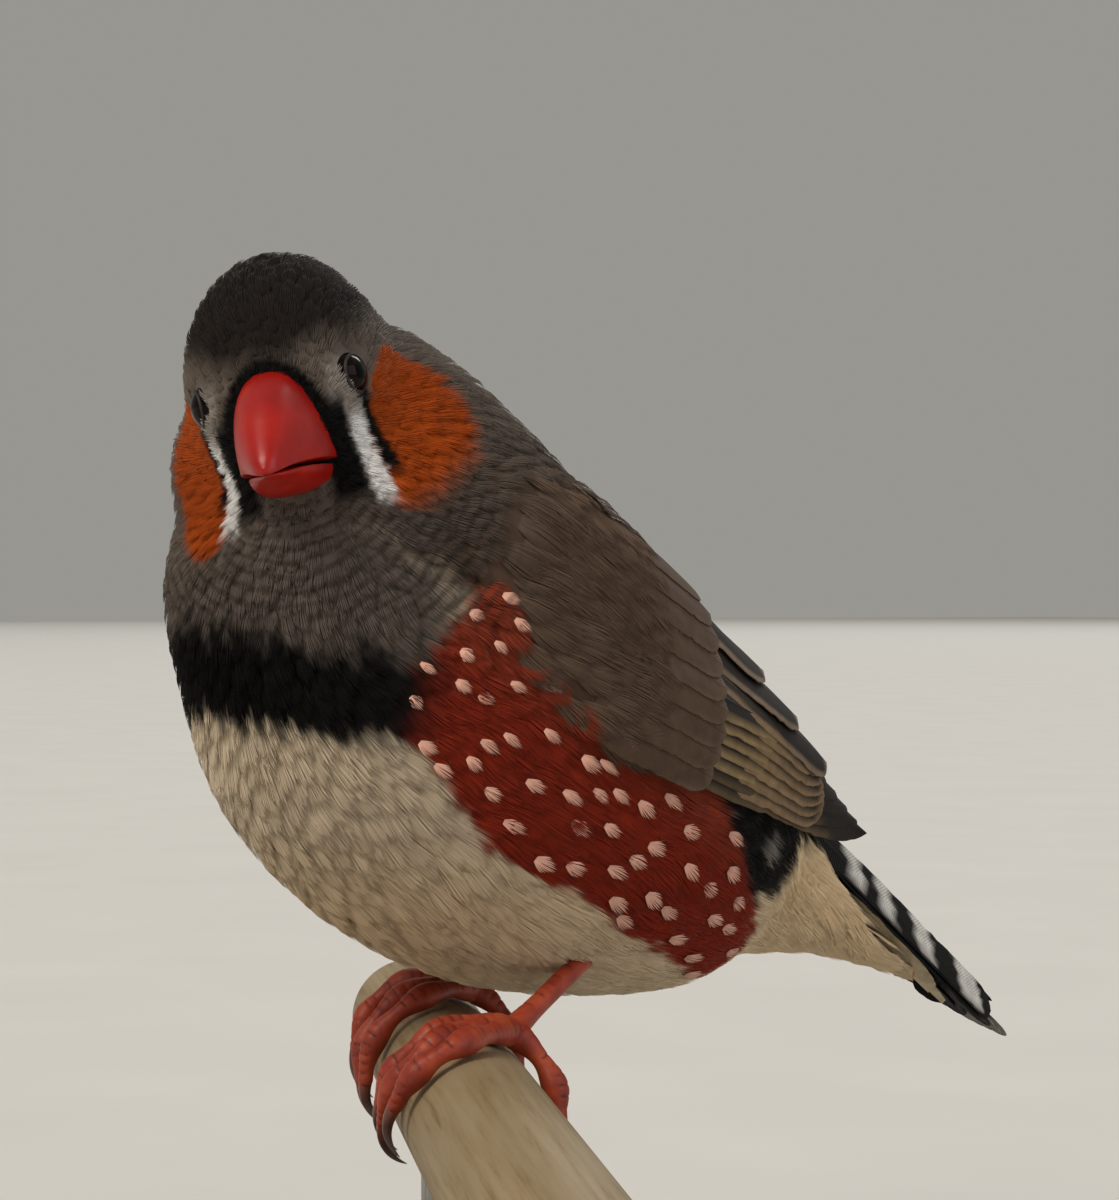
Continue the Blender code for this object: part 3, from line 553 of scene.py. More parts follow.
def mark_face(colours, points):
    head = head_coordinates(points)
    wander = unevenness(points, 3.0, 11)
    x, y, z = head.T
    angle = np.degrees(np.arctan2(np.abs(x), -y)) + 1.2 * wander
    near = 1 - smoothstep(*FACE_END, np.linalg.norm(head - FACE_MIDDLE, axis=1))
    top = z + CROWN_TILT * y - CROWN_ROUND * np.abs(x) + 0.5 * wander
    paler = 1 - CROWN_PALES_BY * smoothstep(*CROWN_PALES, y)
    lay(colours, "crown", smoothstep(*CROWN_EDGE, top) * near * paler)
    lay(colours, "lores", within(angle, *LORES_ANGLES) * within(z, *LORES_HEIGHTS) * near)
    lift = (z - CHEEK_HEIGHT) / CHEEK_RISE
    half = CHEEK_HALF * np.sqrt(np.clip(1 - lift**2, 0, 1))
    from_cheek = np.abs(angle - (CHEEK_ANGLE + CHEEK_LEAN * z))
    lay(colours, "cheek", smoothstep(*CHEEK_EDGE, half - from_cheek) * (np.abs(lift) < 1) * near)
    middle = STRIPE_ANGLE + STRIPE_LEAN * (z - STRIPE_AT)
    stripe = 1 - smoothstep(*STRIPE_EDGE, np.abs(angle - middle))
    lay(colours, "stripe", stripe * within(z, *STRIPE_HEIGHTS) * near)
    tear = 1 - smoothstep(*TEAR_EDGE, np.abs(angle - (middle + TEAR_BEHIND)))
    lay(colours, "black", tear * within(z, *TEAR_HEIGHTS) * near)
    bill_half, bill_drop, bill_height = BILL_OVAL
    bill = np.hypot(x / bill_half, (z + bill_drop) / bill_height)
    front = (y < BILL_FRONT) * near
    rim = 1 - smoothstep(*BILL_EDGE, bill + 0.03 * wander)
    lay(colours, "black", rim * smoothstep(*BILL_RIM_FOOT, z) * front)
    beside = (1 - smoothstep(*BESIDE_ANGLES, angle)) * within(z, *BESIDE_HEIGHTS)
    lay(colours, "black", beside * smoothstep(*BESIDE_FROM, np.abs(x)) * front)


# %% [markdown]
# The body is marked in its own frame. The back is brown, and the nape and breast sides are grey.
# A black band crosses the breast below the barred throat, and the dark patch behind the flank
# carries one pale bar.

# %% The markings of the body
WARM_BEHIND, WARM_BELOW = (20.0, 28.0), (24.0, 14.0)
WARM_BELOW_BY = 0.6
BACK_EDGE = (-1.6, 1.6)
RUMP_FROM = (22.0, 27.0)
NAPE_FROM = (-1.0, 7.0)
GREY_FROM = (4.0, 15.0)
SIDE_FROM = 4.0
FLANK_EDGE = (-0.35, 0.35)
FLANK_TOP = (-9.0, -2.0)
FLANK_TOP_BY = 0.8
PATCH_EDGE = (-0.4, 0.5)
PATCH_BAR_AT = (22.0, 18.9)
PATCH_BAR_WAY = (0.52, 0.86)
PATCH_BAR_HALF = (2.0, 0.62)
PATCH_BAR_EDGE = (0.6, 1.2)
PATCH_BAR_BY = 0.9
BREAST_FROM = (8.0, 14.0)
BREAST_EDGE = (-0.8, 0.8)
BAND_TOP = 38.4
BAND_TOP_EDGE = (1.4, -1.6)
BAND_TOP_DROP = 0.16
BAND_FOOT = 31.0
BAND_FOOT_EDGE = (-0.8, 0.5)
BAND_FOOT_DROP = 0.12
BAND_FROM = (11.5, 16.0)
BARS_BELOW = (-6.0, -8.5)
BARS_FROM = (4.0, 10.0)
BARS_END = 1.5
BARELESS_ANGLES, BARELESS_HEIGHTS = (34.0, 40.0), (-10.8, -9.8)


def plumage_colour(points, spots=True):
    """The linear colour of the plumage at each point of bird space."""
    colours = np.tile(INK["belly"], (len(points), 1))
    x, y, z = points.T
    side = np.column_stack((y, z))
    out = np.abs(x)
    wander = unevenness(points, 4.0, 3)
    fine = unevenness(points, 1.4, 5)
    below = WARM_BELOW_BY * smoothstep(*WARM_BELOW, z)
    lay(colours, "undertail", np.maximum(smoothstep(*WARM_BEHIND, y), below))
    back = smoothstep(*BACK_EDGE, z - back_height(y) + wander)
    lay(colours, "mantle", back)
    lay(colours, "rump", back * smoothstep(*RUMP_FROM, y))
    neck = neck_height(y, z) + wander
    lay(colours, "nape", smoothstep(*NAPE_FROM, neck) * back)
    lay(colours, "grey", smoothstep(*GREY_FROM, neck))
    foot = z - BAND_FOOT + BAND_FOOT_DROP * out
    chest = smoothstep(*BREAST_EDGE, foot + 0.9 * fine) * (1 - back)
    lay(colours, "breast_side", chest * smoothstep(*BREAST_FROM, -y))
    flank = depth_inside(FLANK_OUTLINE, side) + 0.45 * fine
    on_flank = smoothstep(*FLANK_EDGE, flank) * (out > SIDE_FROM)
    lay(colours, "flank", on_flank)
    lay(colours, "flank_top", on_flank * smoothstep(*FLANK_TOP, z - back_height(y)) * FLANK_TOP_BY)
    if spots:
        lay(colours, "spot", spot_mask(side) * on_flank)
    patch = smoothstep(*PATCH_EDGE, depth_inside(PATCH_OUTLINE, side) + 0.5 * fine)
    patch *= out > SIDE_FROM
    lay(colours, "black", patch)
    (at_y, at_z), (cos, sin) = PATCH_BAR_AT, PATCH_BAR_WAY
    along = (cos * (y - at_y) + sin * (z - at_z)) / PATCH_BAR_HALF[0]
    across = (sin * (y - at_y) - cos * (z - at_z)) / PATCH_BAR_HALF[1]
    bar = 1 - smoothstep(*PATCH_BAR_EDGE, np.hypot(along, across) + 0.12 * fine)
    lay(colours, "lores", bar * patch * PATCH_BAR_BY)
    band = smoothstep(*BAND_TOP_EDGE, z - BAND_TOP + BAND_TOP_DROP * out + 0.9 * fine)
    band *= smoothstep(*BAND_FOOT_EDGE, foot + 0.7 * fine)
    band *= smoothstep(*BAND_FROM, -y + 0.8 * wander)
    lay(colours, "black", band)
    mark_face(colours, points)
    return colours


def barring(points):
    """Where the throat carries fine dark bars above the black band, from 0 to 1."""
    head = head_coordinates(points)
    throat = smoothstep(*BARS_BELOW, head[:, 2]) * smoothstep(*BARS_FROM, -points[:, 1])
    angle = np.degrees(np.arctan2(np.abs(head[:, 0]), -head[:, 1]))
    throat *= 1 - smoothstep(*BARELESS_ANGLES, angle) * smoothstep(*BARELESS_HEIGHTS, head[:, 2])
    return throat * smoothstep(BAND_TOP - BARS_END, BAND_TOP + BARS_END, points[:, 2])


def colour_mesh(mesh, colours, bars=None):
    """Keeps linear colours on a mesh, one for each vertex, with 1 minus the barring as their alpha."""
    layer = mesh.color_attributes.new("plumage", "FLOAT_COLOR", "POINT")
    alpha = np.ones(len(colours)) if bars is None else 1.0 - bars
    layer.data.foreach_set("color", np.column_stack((colours, alpha)).astype(np.float32).ravel())


# %% [markdown]
# Plumage is keratin in fine threads: matt, with a faint soft sheen where the light grazes it. The
# throat's bars are finer than the points of a feather, so the finish draws them: a wave of the
# distance from the chin, 1.05 mm from bar to bar and bent by a slow noise, darkens the parts that
# carry bars. The skin below takes the same colours, darker, because little light reaches it
# between the feathers.

# %% Materials of plumage and skin
CHIN = (0.0, -7.0, -5.0)
BAR_PITCH = 1.05
BAR_DARK = 0.5
BAR_WAVE = (-0.2, 0.8)
BAR_BEND = 4.5
BAR_BEND_BY = 1.5
DOWN_TUFT = 0.4
DOWN_RELIEF = 0.2
SKIN_SHADE = 0.9


def wave_over(tree, distance, period):
    """A sine wave over a distance, from -1 to 1, with its crests a period apart."""
    turn = {0: distance, 1: 2 * math.pi / period}
    turns = add_node(tree, "Math", turn, operation="MULTIPLY")
    return add_node(tree, "Math", {0: turns}, operation="SINE")


def plumage_material(name, roughness, sheen):
    material, tree, shader = new_material(
        name, Roughness=roughness, Sheen_Weight=sheen, Sheen_Roughness=0.5, Specular_IOR_Level=0.12
    )
    colour = add_node(tree, "Attribute", attribute_name="plumage")
    place = add_node(tree, "TexCoord").outputs["Object"]
    chin = tuple(SETTLE @ HEAD @ Vector(CHIN))
    away = add_node(tree, "VectorMath", {0: place, 1: chin}, operation="DISTANCE")
    bend = {"Vector": place, "Scale": 1 / (BAR_BEND * MM), "Detail": 2.0}
    bend = add_node(tree, "TexNoise", bend)
    bent = {0: bend, 1: BAR_BEND_BY * BAR_PITCH * MM, 2: away.outputs["Value"]}
    bent = add_node(tree, "Math", bent, operation="MULTIPLY_ADD")
    dark = {"Value": wave_over(tree, bent, BAR_PITCH * MM), "To Min": 0.0, "To Max": BAR_DARK}
    dark["From Min"], dark["From Max"] = BAR_WAVE
    dark = add_node(tree, "MapRange", dark)
    bars = {0: 1.0, 1: colour.outputs["Alpha"]}
    bars = add_node(tree, "Math", bars, operation="SUBTRACT")
    share = add_node(tree, "Math", {0: dark, 1: bars}, operation="MULTIPLY")
    mixed = {0: share, 6: colour.outputs["Color"], 7: rgba(PLUMAGE["bar"])}
    mixed = add_node(tree, "Mix", mixed, data_type="RGBA").outputs[2]
    connect(shader, {"Base Color": mixed})
    return material, tree, shader


barbs, _, _ = plumage_material("barbs_of_body_feathers", 0.7, 0.02)
down, tree, shader = plumage_material("down_on_skin", 0.9, 0.0)
tufts = add_node(tree, "TexNoise", {"Scale": 1 / (DOWN_TUFT * MM), "Detail": 2.0})
relief = {"Height": tufts, "Strength": 0.4, "Distance": DOWN_RELIEF * MM}
connect(shader, {"Normal": add_node(tree, "Bump", relief)})

colour_mesh(skin.data, plumage_colour(skin_points) * SKIN_SHADE, barring(skin_points))
skin_tree = BVHTree.FromPolygons(
    [vert.co.copy() for vert in skin.data.vertices],
    [tuple(face.vertices) for face in skin.data.polygons],
)
print("skin coloured:", len(skin_points), "points")

# %% [markdown]
# A folded wing lies on the flank like a long leaf: thick at the wrist in front, thin over the
# rump. The solids were made from the same side frame, in which s runs back along the wing and t
# rises across it. Every place on the wing is found from it, and pushed out where it would come
# too near the skin. Each station gives s, the lower and upper edge t, and how far out those edges
# lie.

# %% The frame of the folded wing
WING_START = (-8.0, 47.0)
WING_LENGTH = 54.0
WING_STATIONS = (
    (-3.0, -3.4, 0.8, 13.6, 11.0),
    (1.0, -6.0, 4.4, 16.4, 10.8),
    (6.0, -9.0, 7.0, 18.2, 9.8),
    (11.0, -10.9, 8.8, 19.0, 8.4),
    (17.0, -11.6, 9.8, 19.5, 6.4),
    (23.0, -10.6, 9.8, 19.0, 4.8),
    (31.0, -7.8, 8.8, 16.8, 3.0),
    (40.0, -4.3, 6.4, 13.2, 2.4),
    (47.0, -2.2, 3.6, 10.2, 3.4),
    (54.0, -0.4, 0.8, 7.6, 6.4),
)
WING_BULGE = 1.9
WING_FLAT_FROM = 36.0
WING_FLAT_BY = 0.8
WING_LEAN = 0.75
WING_CLEAR = 1.75
WING_CLEAR_MORE = 0.6
WING_ALONG = Vector((0, math.cos(LIE_SLOPE), math.sin(LIE_SLOPE)))
WING_RISE = Vector((0, -math.sin(LIE_SLOPE), math.cos(LIE_SLOPE)))


def wing_station(s):
    """Lower edge t, upper edge t, lower edge x and upper edge x at a place along the wing."""
    for i in range(len(WING_STATIONS) - 1):
        if s <= WING_STATIONS[i + 1][0] or i == len(WING_STATIONS) - 2:
            share = (s - WING_STATIONS[i][0]) / (WING_STATIONS[i + 1][0] - WING_STATIONS[i][0])
            return smooth_through(WING_STATIONS, i + share)[1:]


def wing_place(s, t, h):
    """A point of the left wing, h millimetres out from its face."""
    low_t, high_t, low_x, high_x = wing_station(s)
    share = min(max((t - low_t) / (high_t - low_t), 0.0), 1.0)
    fade = 1.0 - WING_FLAT_BY * max(0.0, (s - WING_FLAT_FROM) / (WING_LENGTH - WING_FLAT_FROM))
    swell = math.sin(math.pi * share)
    x = high_x + (low_x - high_x) * math.cos(share * math.pi / 2) + WING_BULGE * fade * swell
    lean = WING_LEAN * math.pi / 2 * share
    out = Vector((math.cos(lean), 0, 0)) + WING_RISE * math.sin(lean)
    point = Vector((x, *WING_START)) + WING_ALONG * s + WING_RISE * t
    near, normal, _, _ = skin_tree.find_nearest(point)
    short = WING_CLEAR + WING_CLEAR_MORE * swell - (point - near).dot(normal)
    return point + out * (h + max(0.0, short))


# %% [markdown]
# Under the feathers the wing has a core of bone, muscle and down. A grid is bent onto the wing's
# frame, a little below its face, with its rims, its front and the upper part of its rear end sunk
# deeper, where the wing runs out into the body. It is given a wall that reaches into the flank.
# It is kept for both sides, because the small feathers are planted on skin and cores together.

# %% Wing cores
CORE_MARGINS = (0.4, 0.8)
CORE_FRONT, CORE_REAR, CORE_END = 3.0, 32.0, 40.0
CORE_SUNK = 0.75
RIM_SUNK = 0.5
FRONT_SUNK = 1.6
REAR_SUNK = 3.2
CORE_WALL = 2.6
CORE_MIDDLE = (18.0, 5.0, 38.0)


def wing_core(name, side):
    bm = bmesh.new()
    bmesh.ops.create_grid(bm, x_segments=48, y_segments=22, size=1.0)
    first = WING_STATIONS[0][0] + CORE_MARGINS[0]
    for vert in bm.verts:
        s = first + (CORE_END - first) * (vert.co.x + 1) / 2
        low_t, high_t, _, _ = wing_station(s)
        across = (vert.co.y + 1) / 2
        t = low_t + CORE_MARGINS[1] + (high_t - low_t - 2 * CORE_MARGINS[1]) * across
        rim = max(abs(vert.co.x), abs(vert.co.y)) ** 8
        front = max(0.0, (CORE_FRONT - s) / 5.0) ** 2
        upper = min(max((vert.co.y + 0.2) / 0.5, 0.0), 1.0)
        rear = max(0.0, (s - CORE_REAR) / (CORE_END - CORE_REAR)) ** 2 * upper
        sunk = -CORE_SUNK - RIM_SUNK * rim - FRONT_SUNK * front - REAR_SUNK * rear
        place = wing_place(s, t, sunk)
        vert.co = (place.x * side, place.y, place.z)
    bmesh.ops.recalc_face_normals(bm, faces=bm.faces)
    middle = Vector((CORE_MIDDLE[0] * side, *CORE_MIDDLE[1:]))
    outer = min(bm.faces, key=lambda face: (face.calc_center_median() - middle).length)
    if outer.normal.x * side < 0:
        bmesh.ops.reverse_faces(bm, faces=bm.faces)
    bmesh.ops.solidify(bm, geom=bm.faces, thickness=CORE_WALL)
    bmesh.ops.triangulate(bm, faces=bm.faces)
    core = object_from(name, bm)
    core_points = points_of(core.data)
    colour_mesh(core.data, np.tile(INK["mantle"] * SKIN_SHADE, (len(core_points), 1)))
    return core


cores = {side: wing_core(f"wing_core_{name}", side) for name, side in SIDES.items()}
support_corners = []
support_faces = []
for obj in (skin, *cores.values()):
    start = len(support_corners)
    support_corners += [vert.co.copy() for vert in obj.data.vertices]
    support_faces += [tuple(start + i for i in face.vertices) for face in obj.data.polygons]
support = BVHTree.FromPolygons(support_corners, support_faces)
core_tree = BVHTree.FromPolygons(support_corners, support_faces[len(skin.data.polygons) :])
print("faces that carry feathers:", len(support_faces))

# %% [markdown]
# A small feather is a fan of fine barbs. Real hair curves would be lost in the export, so each
# barb is solid mesh: a thin three-sided thread with a closed root and a pointed tip. A feather's
# barbs follow its middle line, which creeps over the skin the way the plumage lies: away from the
# bill on the head, back and down along the body, and a little outwards over the shoulders. First
# comes that lie.

# %% The lie of the plumage
BODY_LIE = np.array((0.0, math.cos(LIE_SLOPE), math.sin(LIE_SLOPE)))
TAIL_SLOPE = math.radians(-40.2)
TAIL_LIE = np.array((0.0, math.cos(TAIL_SLOPE), math.sin(TAIL_SLOPE)))
TAIL_LIE_FROM = (24.0, 34.0)
BODY_LIE_FROM = (10.0, 25.0)
SHOULDER_RISE, SHOULDER_OUT, SHOULDER_END = (-2.0, 2.0), (3.0, 7.0), (24.0, 12.0)
SHOULDER_HIGH = 3.5
SHOULDER_BY = 0.5
DRIFTS = ((0.16, 7.0, 21), (0.08, 2.0, 22))


def unit(vectors):
    return vectors / np.maximum(np.linalg.norm(vectors, axis=-1, keepdims=True), 1e-9)


def along_body(points):
    """How far back a point lies along the body's own slope."""
    return points[:, 1] * math.cos(LIE_SLOPE) + points[:, 2] * math.sin(LIE_SLOPE)


def lie_at(points, normals):
    """Unit vectors along the surface, in the way that feathers point there."""
    away = points - np.array(BILL_BASE)
    far = np.linalg.norm(away, axis=1)
    x, y, z = points.T
    body = BODY_LIE + (TAIL_LIE - BODY_LIE) * smoothstep(*TAIL_LIE_FROM, y)[:, None]
    share = smoothstep(*BODY_LIE_FROM, far)[:, None]
    way = unit(away) * (1 - share) + body * share
    shoulder = smoothstep(*SHOULDER_RISE, z - back_height(y) - SHOULDER_HIGH)
    shoulder *= smoothstep(*SHOULDER_OUT, np.abs(x)) * smoothstep(*SHOULDER_END, y)
    way[:, 0] += SHOULDER_BY * np.sign(x) * shoulder * share[:, 0]
    way = unit(way - normals * np.sum(way * normals, axis=1)[:, None])
    drift = sum(by * unevenness(points, size, seed) for by, size, seed in DRIFTS)
    return unit(way + np.cross(normals, way) * drift[:, None])


# %% [markdown]
# Feathers are tiny round the bill and grow longer and wider towards the tail. Their size follows
# the distance from the bill, with full-sized coverts on the wings. Each row of the plan gives a
# distance, the spacing of the roots, the length and width of the feather, how high its tip
# stands, and its number of barbs. The coverts end in a soft line: past COVERTS_END along the wing
# only its upper part carries them, and the line falls a little further back.

# %% Sizes of the small feathers
COAT_PLAN = (
    (4.5, 0.55, 1.25, 0.85, 0.36, 7),
    (8.0, 0.7, 1.8, 1.15, 0.48, 10),
    (14.0, 0.9, 2.8, 1.6, 0.66, 13),
    (24.0, 1.16, 4.1, 2.3, 0.76, 19),
    (36.0, 1.36, 5.2, 2.9, 0.78, 23),
    (90.0, 1.45, 5.8, 3.1, 0.78, 24),
)
COVERT_PLAN = (1.4, 5.2, 3.0, 0.8, 21)
SIZE_SPREAD = (0.88, 1.14)
COVERTS_END = 19.5
COVERTS_EDGE = 5.6
COVERTS_TURN = 30.0
COVERTS_FALL = 0.3
CORE_INSIDE = 0.6
WING_HIDES = 2.5
WING_SHALLOW = 0.7
EYE_BARE = 1.7
EYE_BARE_CHANGE = 0.3


def coat_plan(points, on_wing):
    """Spacing, length, width, tip height and number of barbs of a feather at each point."""
    far = np.linalg.norm(points - np.array(BILL_BASE), axis=1)
    rows = np.array(COAT_PLAN)
    plan = np.column_stack([np.interp(far, rows[:, 0], rows[:, i]) for i in range(1, 6)])
    plan[on_wing] = COVERT_PLAN
    return plan


# %% [markdown]
# Roots are scattered evenly but without rows: many random places are tried, with a fixed seed, and
# each is kept only where it is far enough from those kept before. A place that the wing covers,
# or that lies on the eye, is passed over.

# %% Scatter the roots
ROOT_SEED = 7
SKIN_TRIES, WING_TRIES = 60000, 7000


def surface_draw(obj, count, draw):
    """Random points on a mesh, spread by area, with their normals."""
    mesh = obj.data
    mesh.calc_loop_triangles()
    corners = np.empty(len(mesh.loop_triangles) * 3, np.int32)
    mesh.loop_triangles.foreach_get("vertices", corners)
    corners = corners.reshape(-1, 3)
    places, normals = points_of(mesh), points_of(mesh, "normal")
    a, b, c = (places[corners[:, i]] for i in range(3))
    area = np.linalg.norm(np.cross(b - a, c - a), axis=1)
    picked = draw.choice(len(corners), size=count, p=area / area.sum())
    u, v = draw.random(count), draw.random(count)
    over = u + v > 1
    u[over], v[over] = 1 - u[over], 1 - v[over]
    weights = np.column_stack((1 - u - v, u, v))
    chosen = corners[picked]
    points = sum(places[chosen[:, i]] * weights[:, i : i + 1] for i in range(3))
    return points, unit(sum(normals[chosen[:, i]] * weights[:, i : i + 1] for i in range(3)))


def on_eye(points):
    """True where a point lies on an eye or its lid, or where its feather would grow over them."""
    head = head_coordinates(points)
    head[:, 0] = np.abs(head[:, 0])
    to = head - np.array(EYE_CENTRE)
    along = to @ np.array(EYE_AXIS)
    off = np.linalg.norm(to - along[:, None] * np.array(EYE_AXIS), axis=1)
    ahead_of = np.clip(-to[:, 1] / EYE_BARE, -1, 1)
    return (off < EYE_BARE + EYE_BARE_CHANGE * ahead_of) & (along > 0)


def bare(point, normal, on_wing):
    """True where no small feather grows: under a wing, in the body, or under flight feathers."""
    if not on_wing:
        above = core_tree.ray_cast(point + normal * 0.05, normal, WING_HIDES)[3]
        return above is not None and above > WING_SHALLOW
    near, skin_normal, _, _ = skin_tree.find_nearest(point)
    from_start = point - Vector((0, *WING_START))
    along = from_start.dot(WING_ALONG)
    edge = COVERTS_EDGE - COVERTS_FALL * max(0.0, along - COVERTS_TURN)
    on_flight = along > COVERTS_END and from_start.dot(WING_RISE) < edge
    return (point - near).dot(skin_normal) < -CORE_INSIDE or on_flight


def spread_out(points, spacing):
    """The indices of points that keep their spacing from all kept before them."""
    cell = spacing.max()
    grid = {}
    kept = []
    for i, (point, apart) in enumerate(zip(points, spacing)):
        key = tuple((point // cell).astype(int))
        around = itertools.product(*(range(k - 1, k + 2) for k in key))
        gaps = (points[j] - point for near in around for j in grid.get(near, ()))
        if all(gap @ gap >= apart * apart for gap in gaps):
            grid.setdefault(key, []).append(i)
            kept.append(i)
    return kept


draw = np.random.default_rng(ROOT_SEED)
drawn = []
for obj, count in ((skin, SKIN_TRIES), (cores[1.0], WING_TRIES), (cores[-1.0], WING_TRIES)):
    drawn.append((*surface_draw(obj, count, draw), np.full(count, obj is not skin)))
root_points, root_normals, root_on_wing = (np.concatenate(arrays) for arrays in zip(*drawn))
order = draw.permutation(len(root_points))
order = order[spread_out(root_points[order], coat_plan(root_points, root_on_wing)[order, 0])]
order = order[~on_eye(root_points[order])]
kept = [i for i in order if not bare(Vector(root_points[i]), Vector(root_normals[i]), root_on_wing[i])]
root_points, root_normals, root_on_wing = root_points[kept], root_normals[kept], root_on_wing[kept]
plan = coat_plan(root_points, root_on_wing)
plan[:, 1:3] *= draw.uniform(*SIZE_SPREAD, (len(plan), 1))
print("small feathers:", len(plan), "barbs:", int(plan[:, 4].sum()))

# %% [markdown]
# Each feather's middle line takes three steps over the surface. After every step it is dropped
# back onto whatever lies outermost there, skin or wing, so that feathers flow from the shoulder
# onto the wing without a break. A feather that would step off into the air is left out, apart from
# those at the wing's front and over the rump, which may bridge a gap.

# %% Middle lines of the feathers
STEPS = 3
DROP_FROM = 2.2
FACING_LEAST = 0.2
FACING_SHARE = 0.45
WING_FRONT = 5.0
RUMP_REACH = (20.0, 33.0)
RUMP_FACING = -0.2


def step_over(points, normals, ways, lengths):
    """Moves each point one step along its way and back onto the surface."""
    moved = points + ways * lengths[:, None]
    landed, facing, held = moved.copy(), normals.copy(), np.zeros(len(points), bool)
    for i, (place, normal) in enumerate(zip(moved, normals)):
        start = Vector(place) + Vector(normal) * DROP_FROM
        hit, face_normal, _, _ = support.ray_cast(start, -Vector(normal), 2 * DROP_FROM)
        if hit is not None and face_normal.dot(Vector(normal)) > FACING_LEAST:
            landed[i] = hit
            facing[i] = face_normal
            held[i] = True
    return landed, unit(normals * (1 - FACING_SHARE) + facing * FACING_SHARE), held


middle = [root_points]
up = [root_normals]
steady = np.ones(len(plan), bool)
along_wing = (root_points - (0, *WING_START)) @ np.array(WING_ALONG)
on_rump = (root_points[:, 1] > RUMP_REACH[0]) & (root_points[:, 1] < RUMP_REACH[1])
on_rump &= root_normals[:, 2] > RUMP_FACING
free = np.where(root_on_wing, along_wing < WING_FRONT, on_rump)
for step in range(STEPS):
    ways = lie_at(middle[-1], up[-1])
    landed, facing, held = step_over(middle[-1], up[-1], ways, plan[:, 1] / STEPS)
    if step < STEPS - 1:
        steady &= held | free
    middle.append(landed)
    up.append(facing)
middle, up = np.stack(middle, axis=1)[steady], np.stack(up, axis=1)[steady]
root_points, root_on_wing, plan = root_points[steady], root_on_wing[steady], plan[steady]
print("feathers that lie on the bird:", len(plan))

# %% [markdown]
# The barbs of all feathers in a region are worked out together and joined in one mesh, because
# over fifty thousand of them would be too slow one at a time with an operator. Every barb has
# rings of three points along it. Its colour is asked at each ring, then shaded darker at the
# root, where feathers shade each other, and varied a little from feather to feather. Its place in
# the map for the bake comes from the root's place on the head or the body.

# %% Grow barbs
BARB_STOPS = np.array((0.0, 0.38, 0.74, 1.0))
BARB_WIDTHS = np.array((0.75, 1.0, 0.72))
BARB_SHADES = np.array((0.86, 0.97, 1.0, 1.02))
BARB_RINGS = len(BARB_WIDTHS)
BARB_POINTS = 3 * BARB_RINGS + 1
BARB_TALL = 0.9
BARB_OVERLAP = 1.02
BARB_SPREADS = (0.35, (0.86, 1.06), (0.9, 1.1), 0.018, (0.85, 1.15))
TIP_SHORTER, TIP_ROUND = 0.42, 2.2
FAN_AT_ROOT, FAN_OPENS = 0.28, 1.5
LIFT_OPENS, LIFT_CURVE = 1.35, 0.8
CUP = 0.09
TINTS = (0.025, 0.045)
ROOT_SUNK = 0.18
PATCH = 0.003
HEAD_REACH = 15.0
TUBE_AXIS = 32.0
TUBE_SPAN = (-50.0, 50.0)
MAP_MARGIN, MAP_HALF, MAP_HEIGHT, MAP_BODY = 0.02, 0.45, 0.95, 0.5
MAP_END = 0.97
COVERT_LIGHTER = 1.45
COVERT_CLOUDS = (0.06, 5.0, 31)
SHOULDER_GREY, SHOULDER_GREY_BY = (-22.0, -32.0), 0.7


def between(nodes, places):
    """Values at places, counted in steps, between the nodes along each feather's middle line."""
    i = np.clip(places.astype(int), 0, STEPS - 1)
    share = (places - i)[..., None]
    rows = np.arange(len(nodes))[:, None, None]
    return nodes[rows, i] * (1 - share) + nodes[rows, i + 1] * share


def unwrap(points):
    """A map of the skin: the head as a globe on the left, the body as a tube on the right."""
    head = head_coordinates(points)
    far = np.linalg.norm(head, axis=1)
    turn = np.arctan2(head[:, 0], head[:, 1]) / (2 * math.pi) + 0.5
    tilt = np.arccos(np.clip(head[:, 2] / far, -1, 1)) / math.pi
    globe = np.column_stack((MAP_MARGIN + MAP_HALF * turn, MAP_MARGIN + MAP_HEIGHT * tilt))
    rise = points[:, 2] * math.cos(LIE_SLOPE) - points[:, 1] * math.sin(LIE_SLOPE) - TUBE_AXIS
    turn = np.arctan2(points[:, 0], rise) / (2 * math.pi) + 0.5
    back = (along_body(points) - TUBE_SPAN[0]) / (TUBE_SPAN[1] - TUBE_SPAN[0])
    first = MAP_BODY + MAP_MARGIN
    tube = np.column_stack((first + MAP_HALF * turn, MAP_MARGIN + MAP_HEIGHT * back))
    tube = np.clip(tube, (first, 0.0), MAP_END)
    return np.where((far < HEAD_REACH)[:, None], globe, tube)


def barb_faces():
    """The triangles of one barb: a closed root, a wall between its rings, and the pointed tip."""
    shape = [(0, 2, 1)]
    for ring in range(BARB_RINGS - 1):
        for a in range(3):
            low, next_low = 3 * ring + a, 3 * ring + (a + 1) % 3
            shape.append((low, next_low, next_low + 3))
            shape.append((low, next_low + 3, low + 3))
    tip = BARB_POINTS - 1
    return np.array(shape + [(tip - 3, tip - 2, tip), (tip - 2, tip - 1, tip), (tip - 1, tip - 3, tip)])


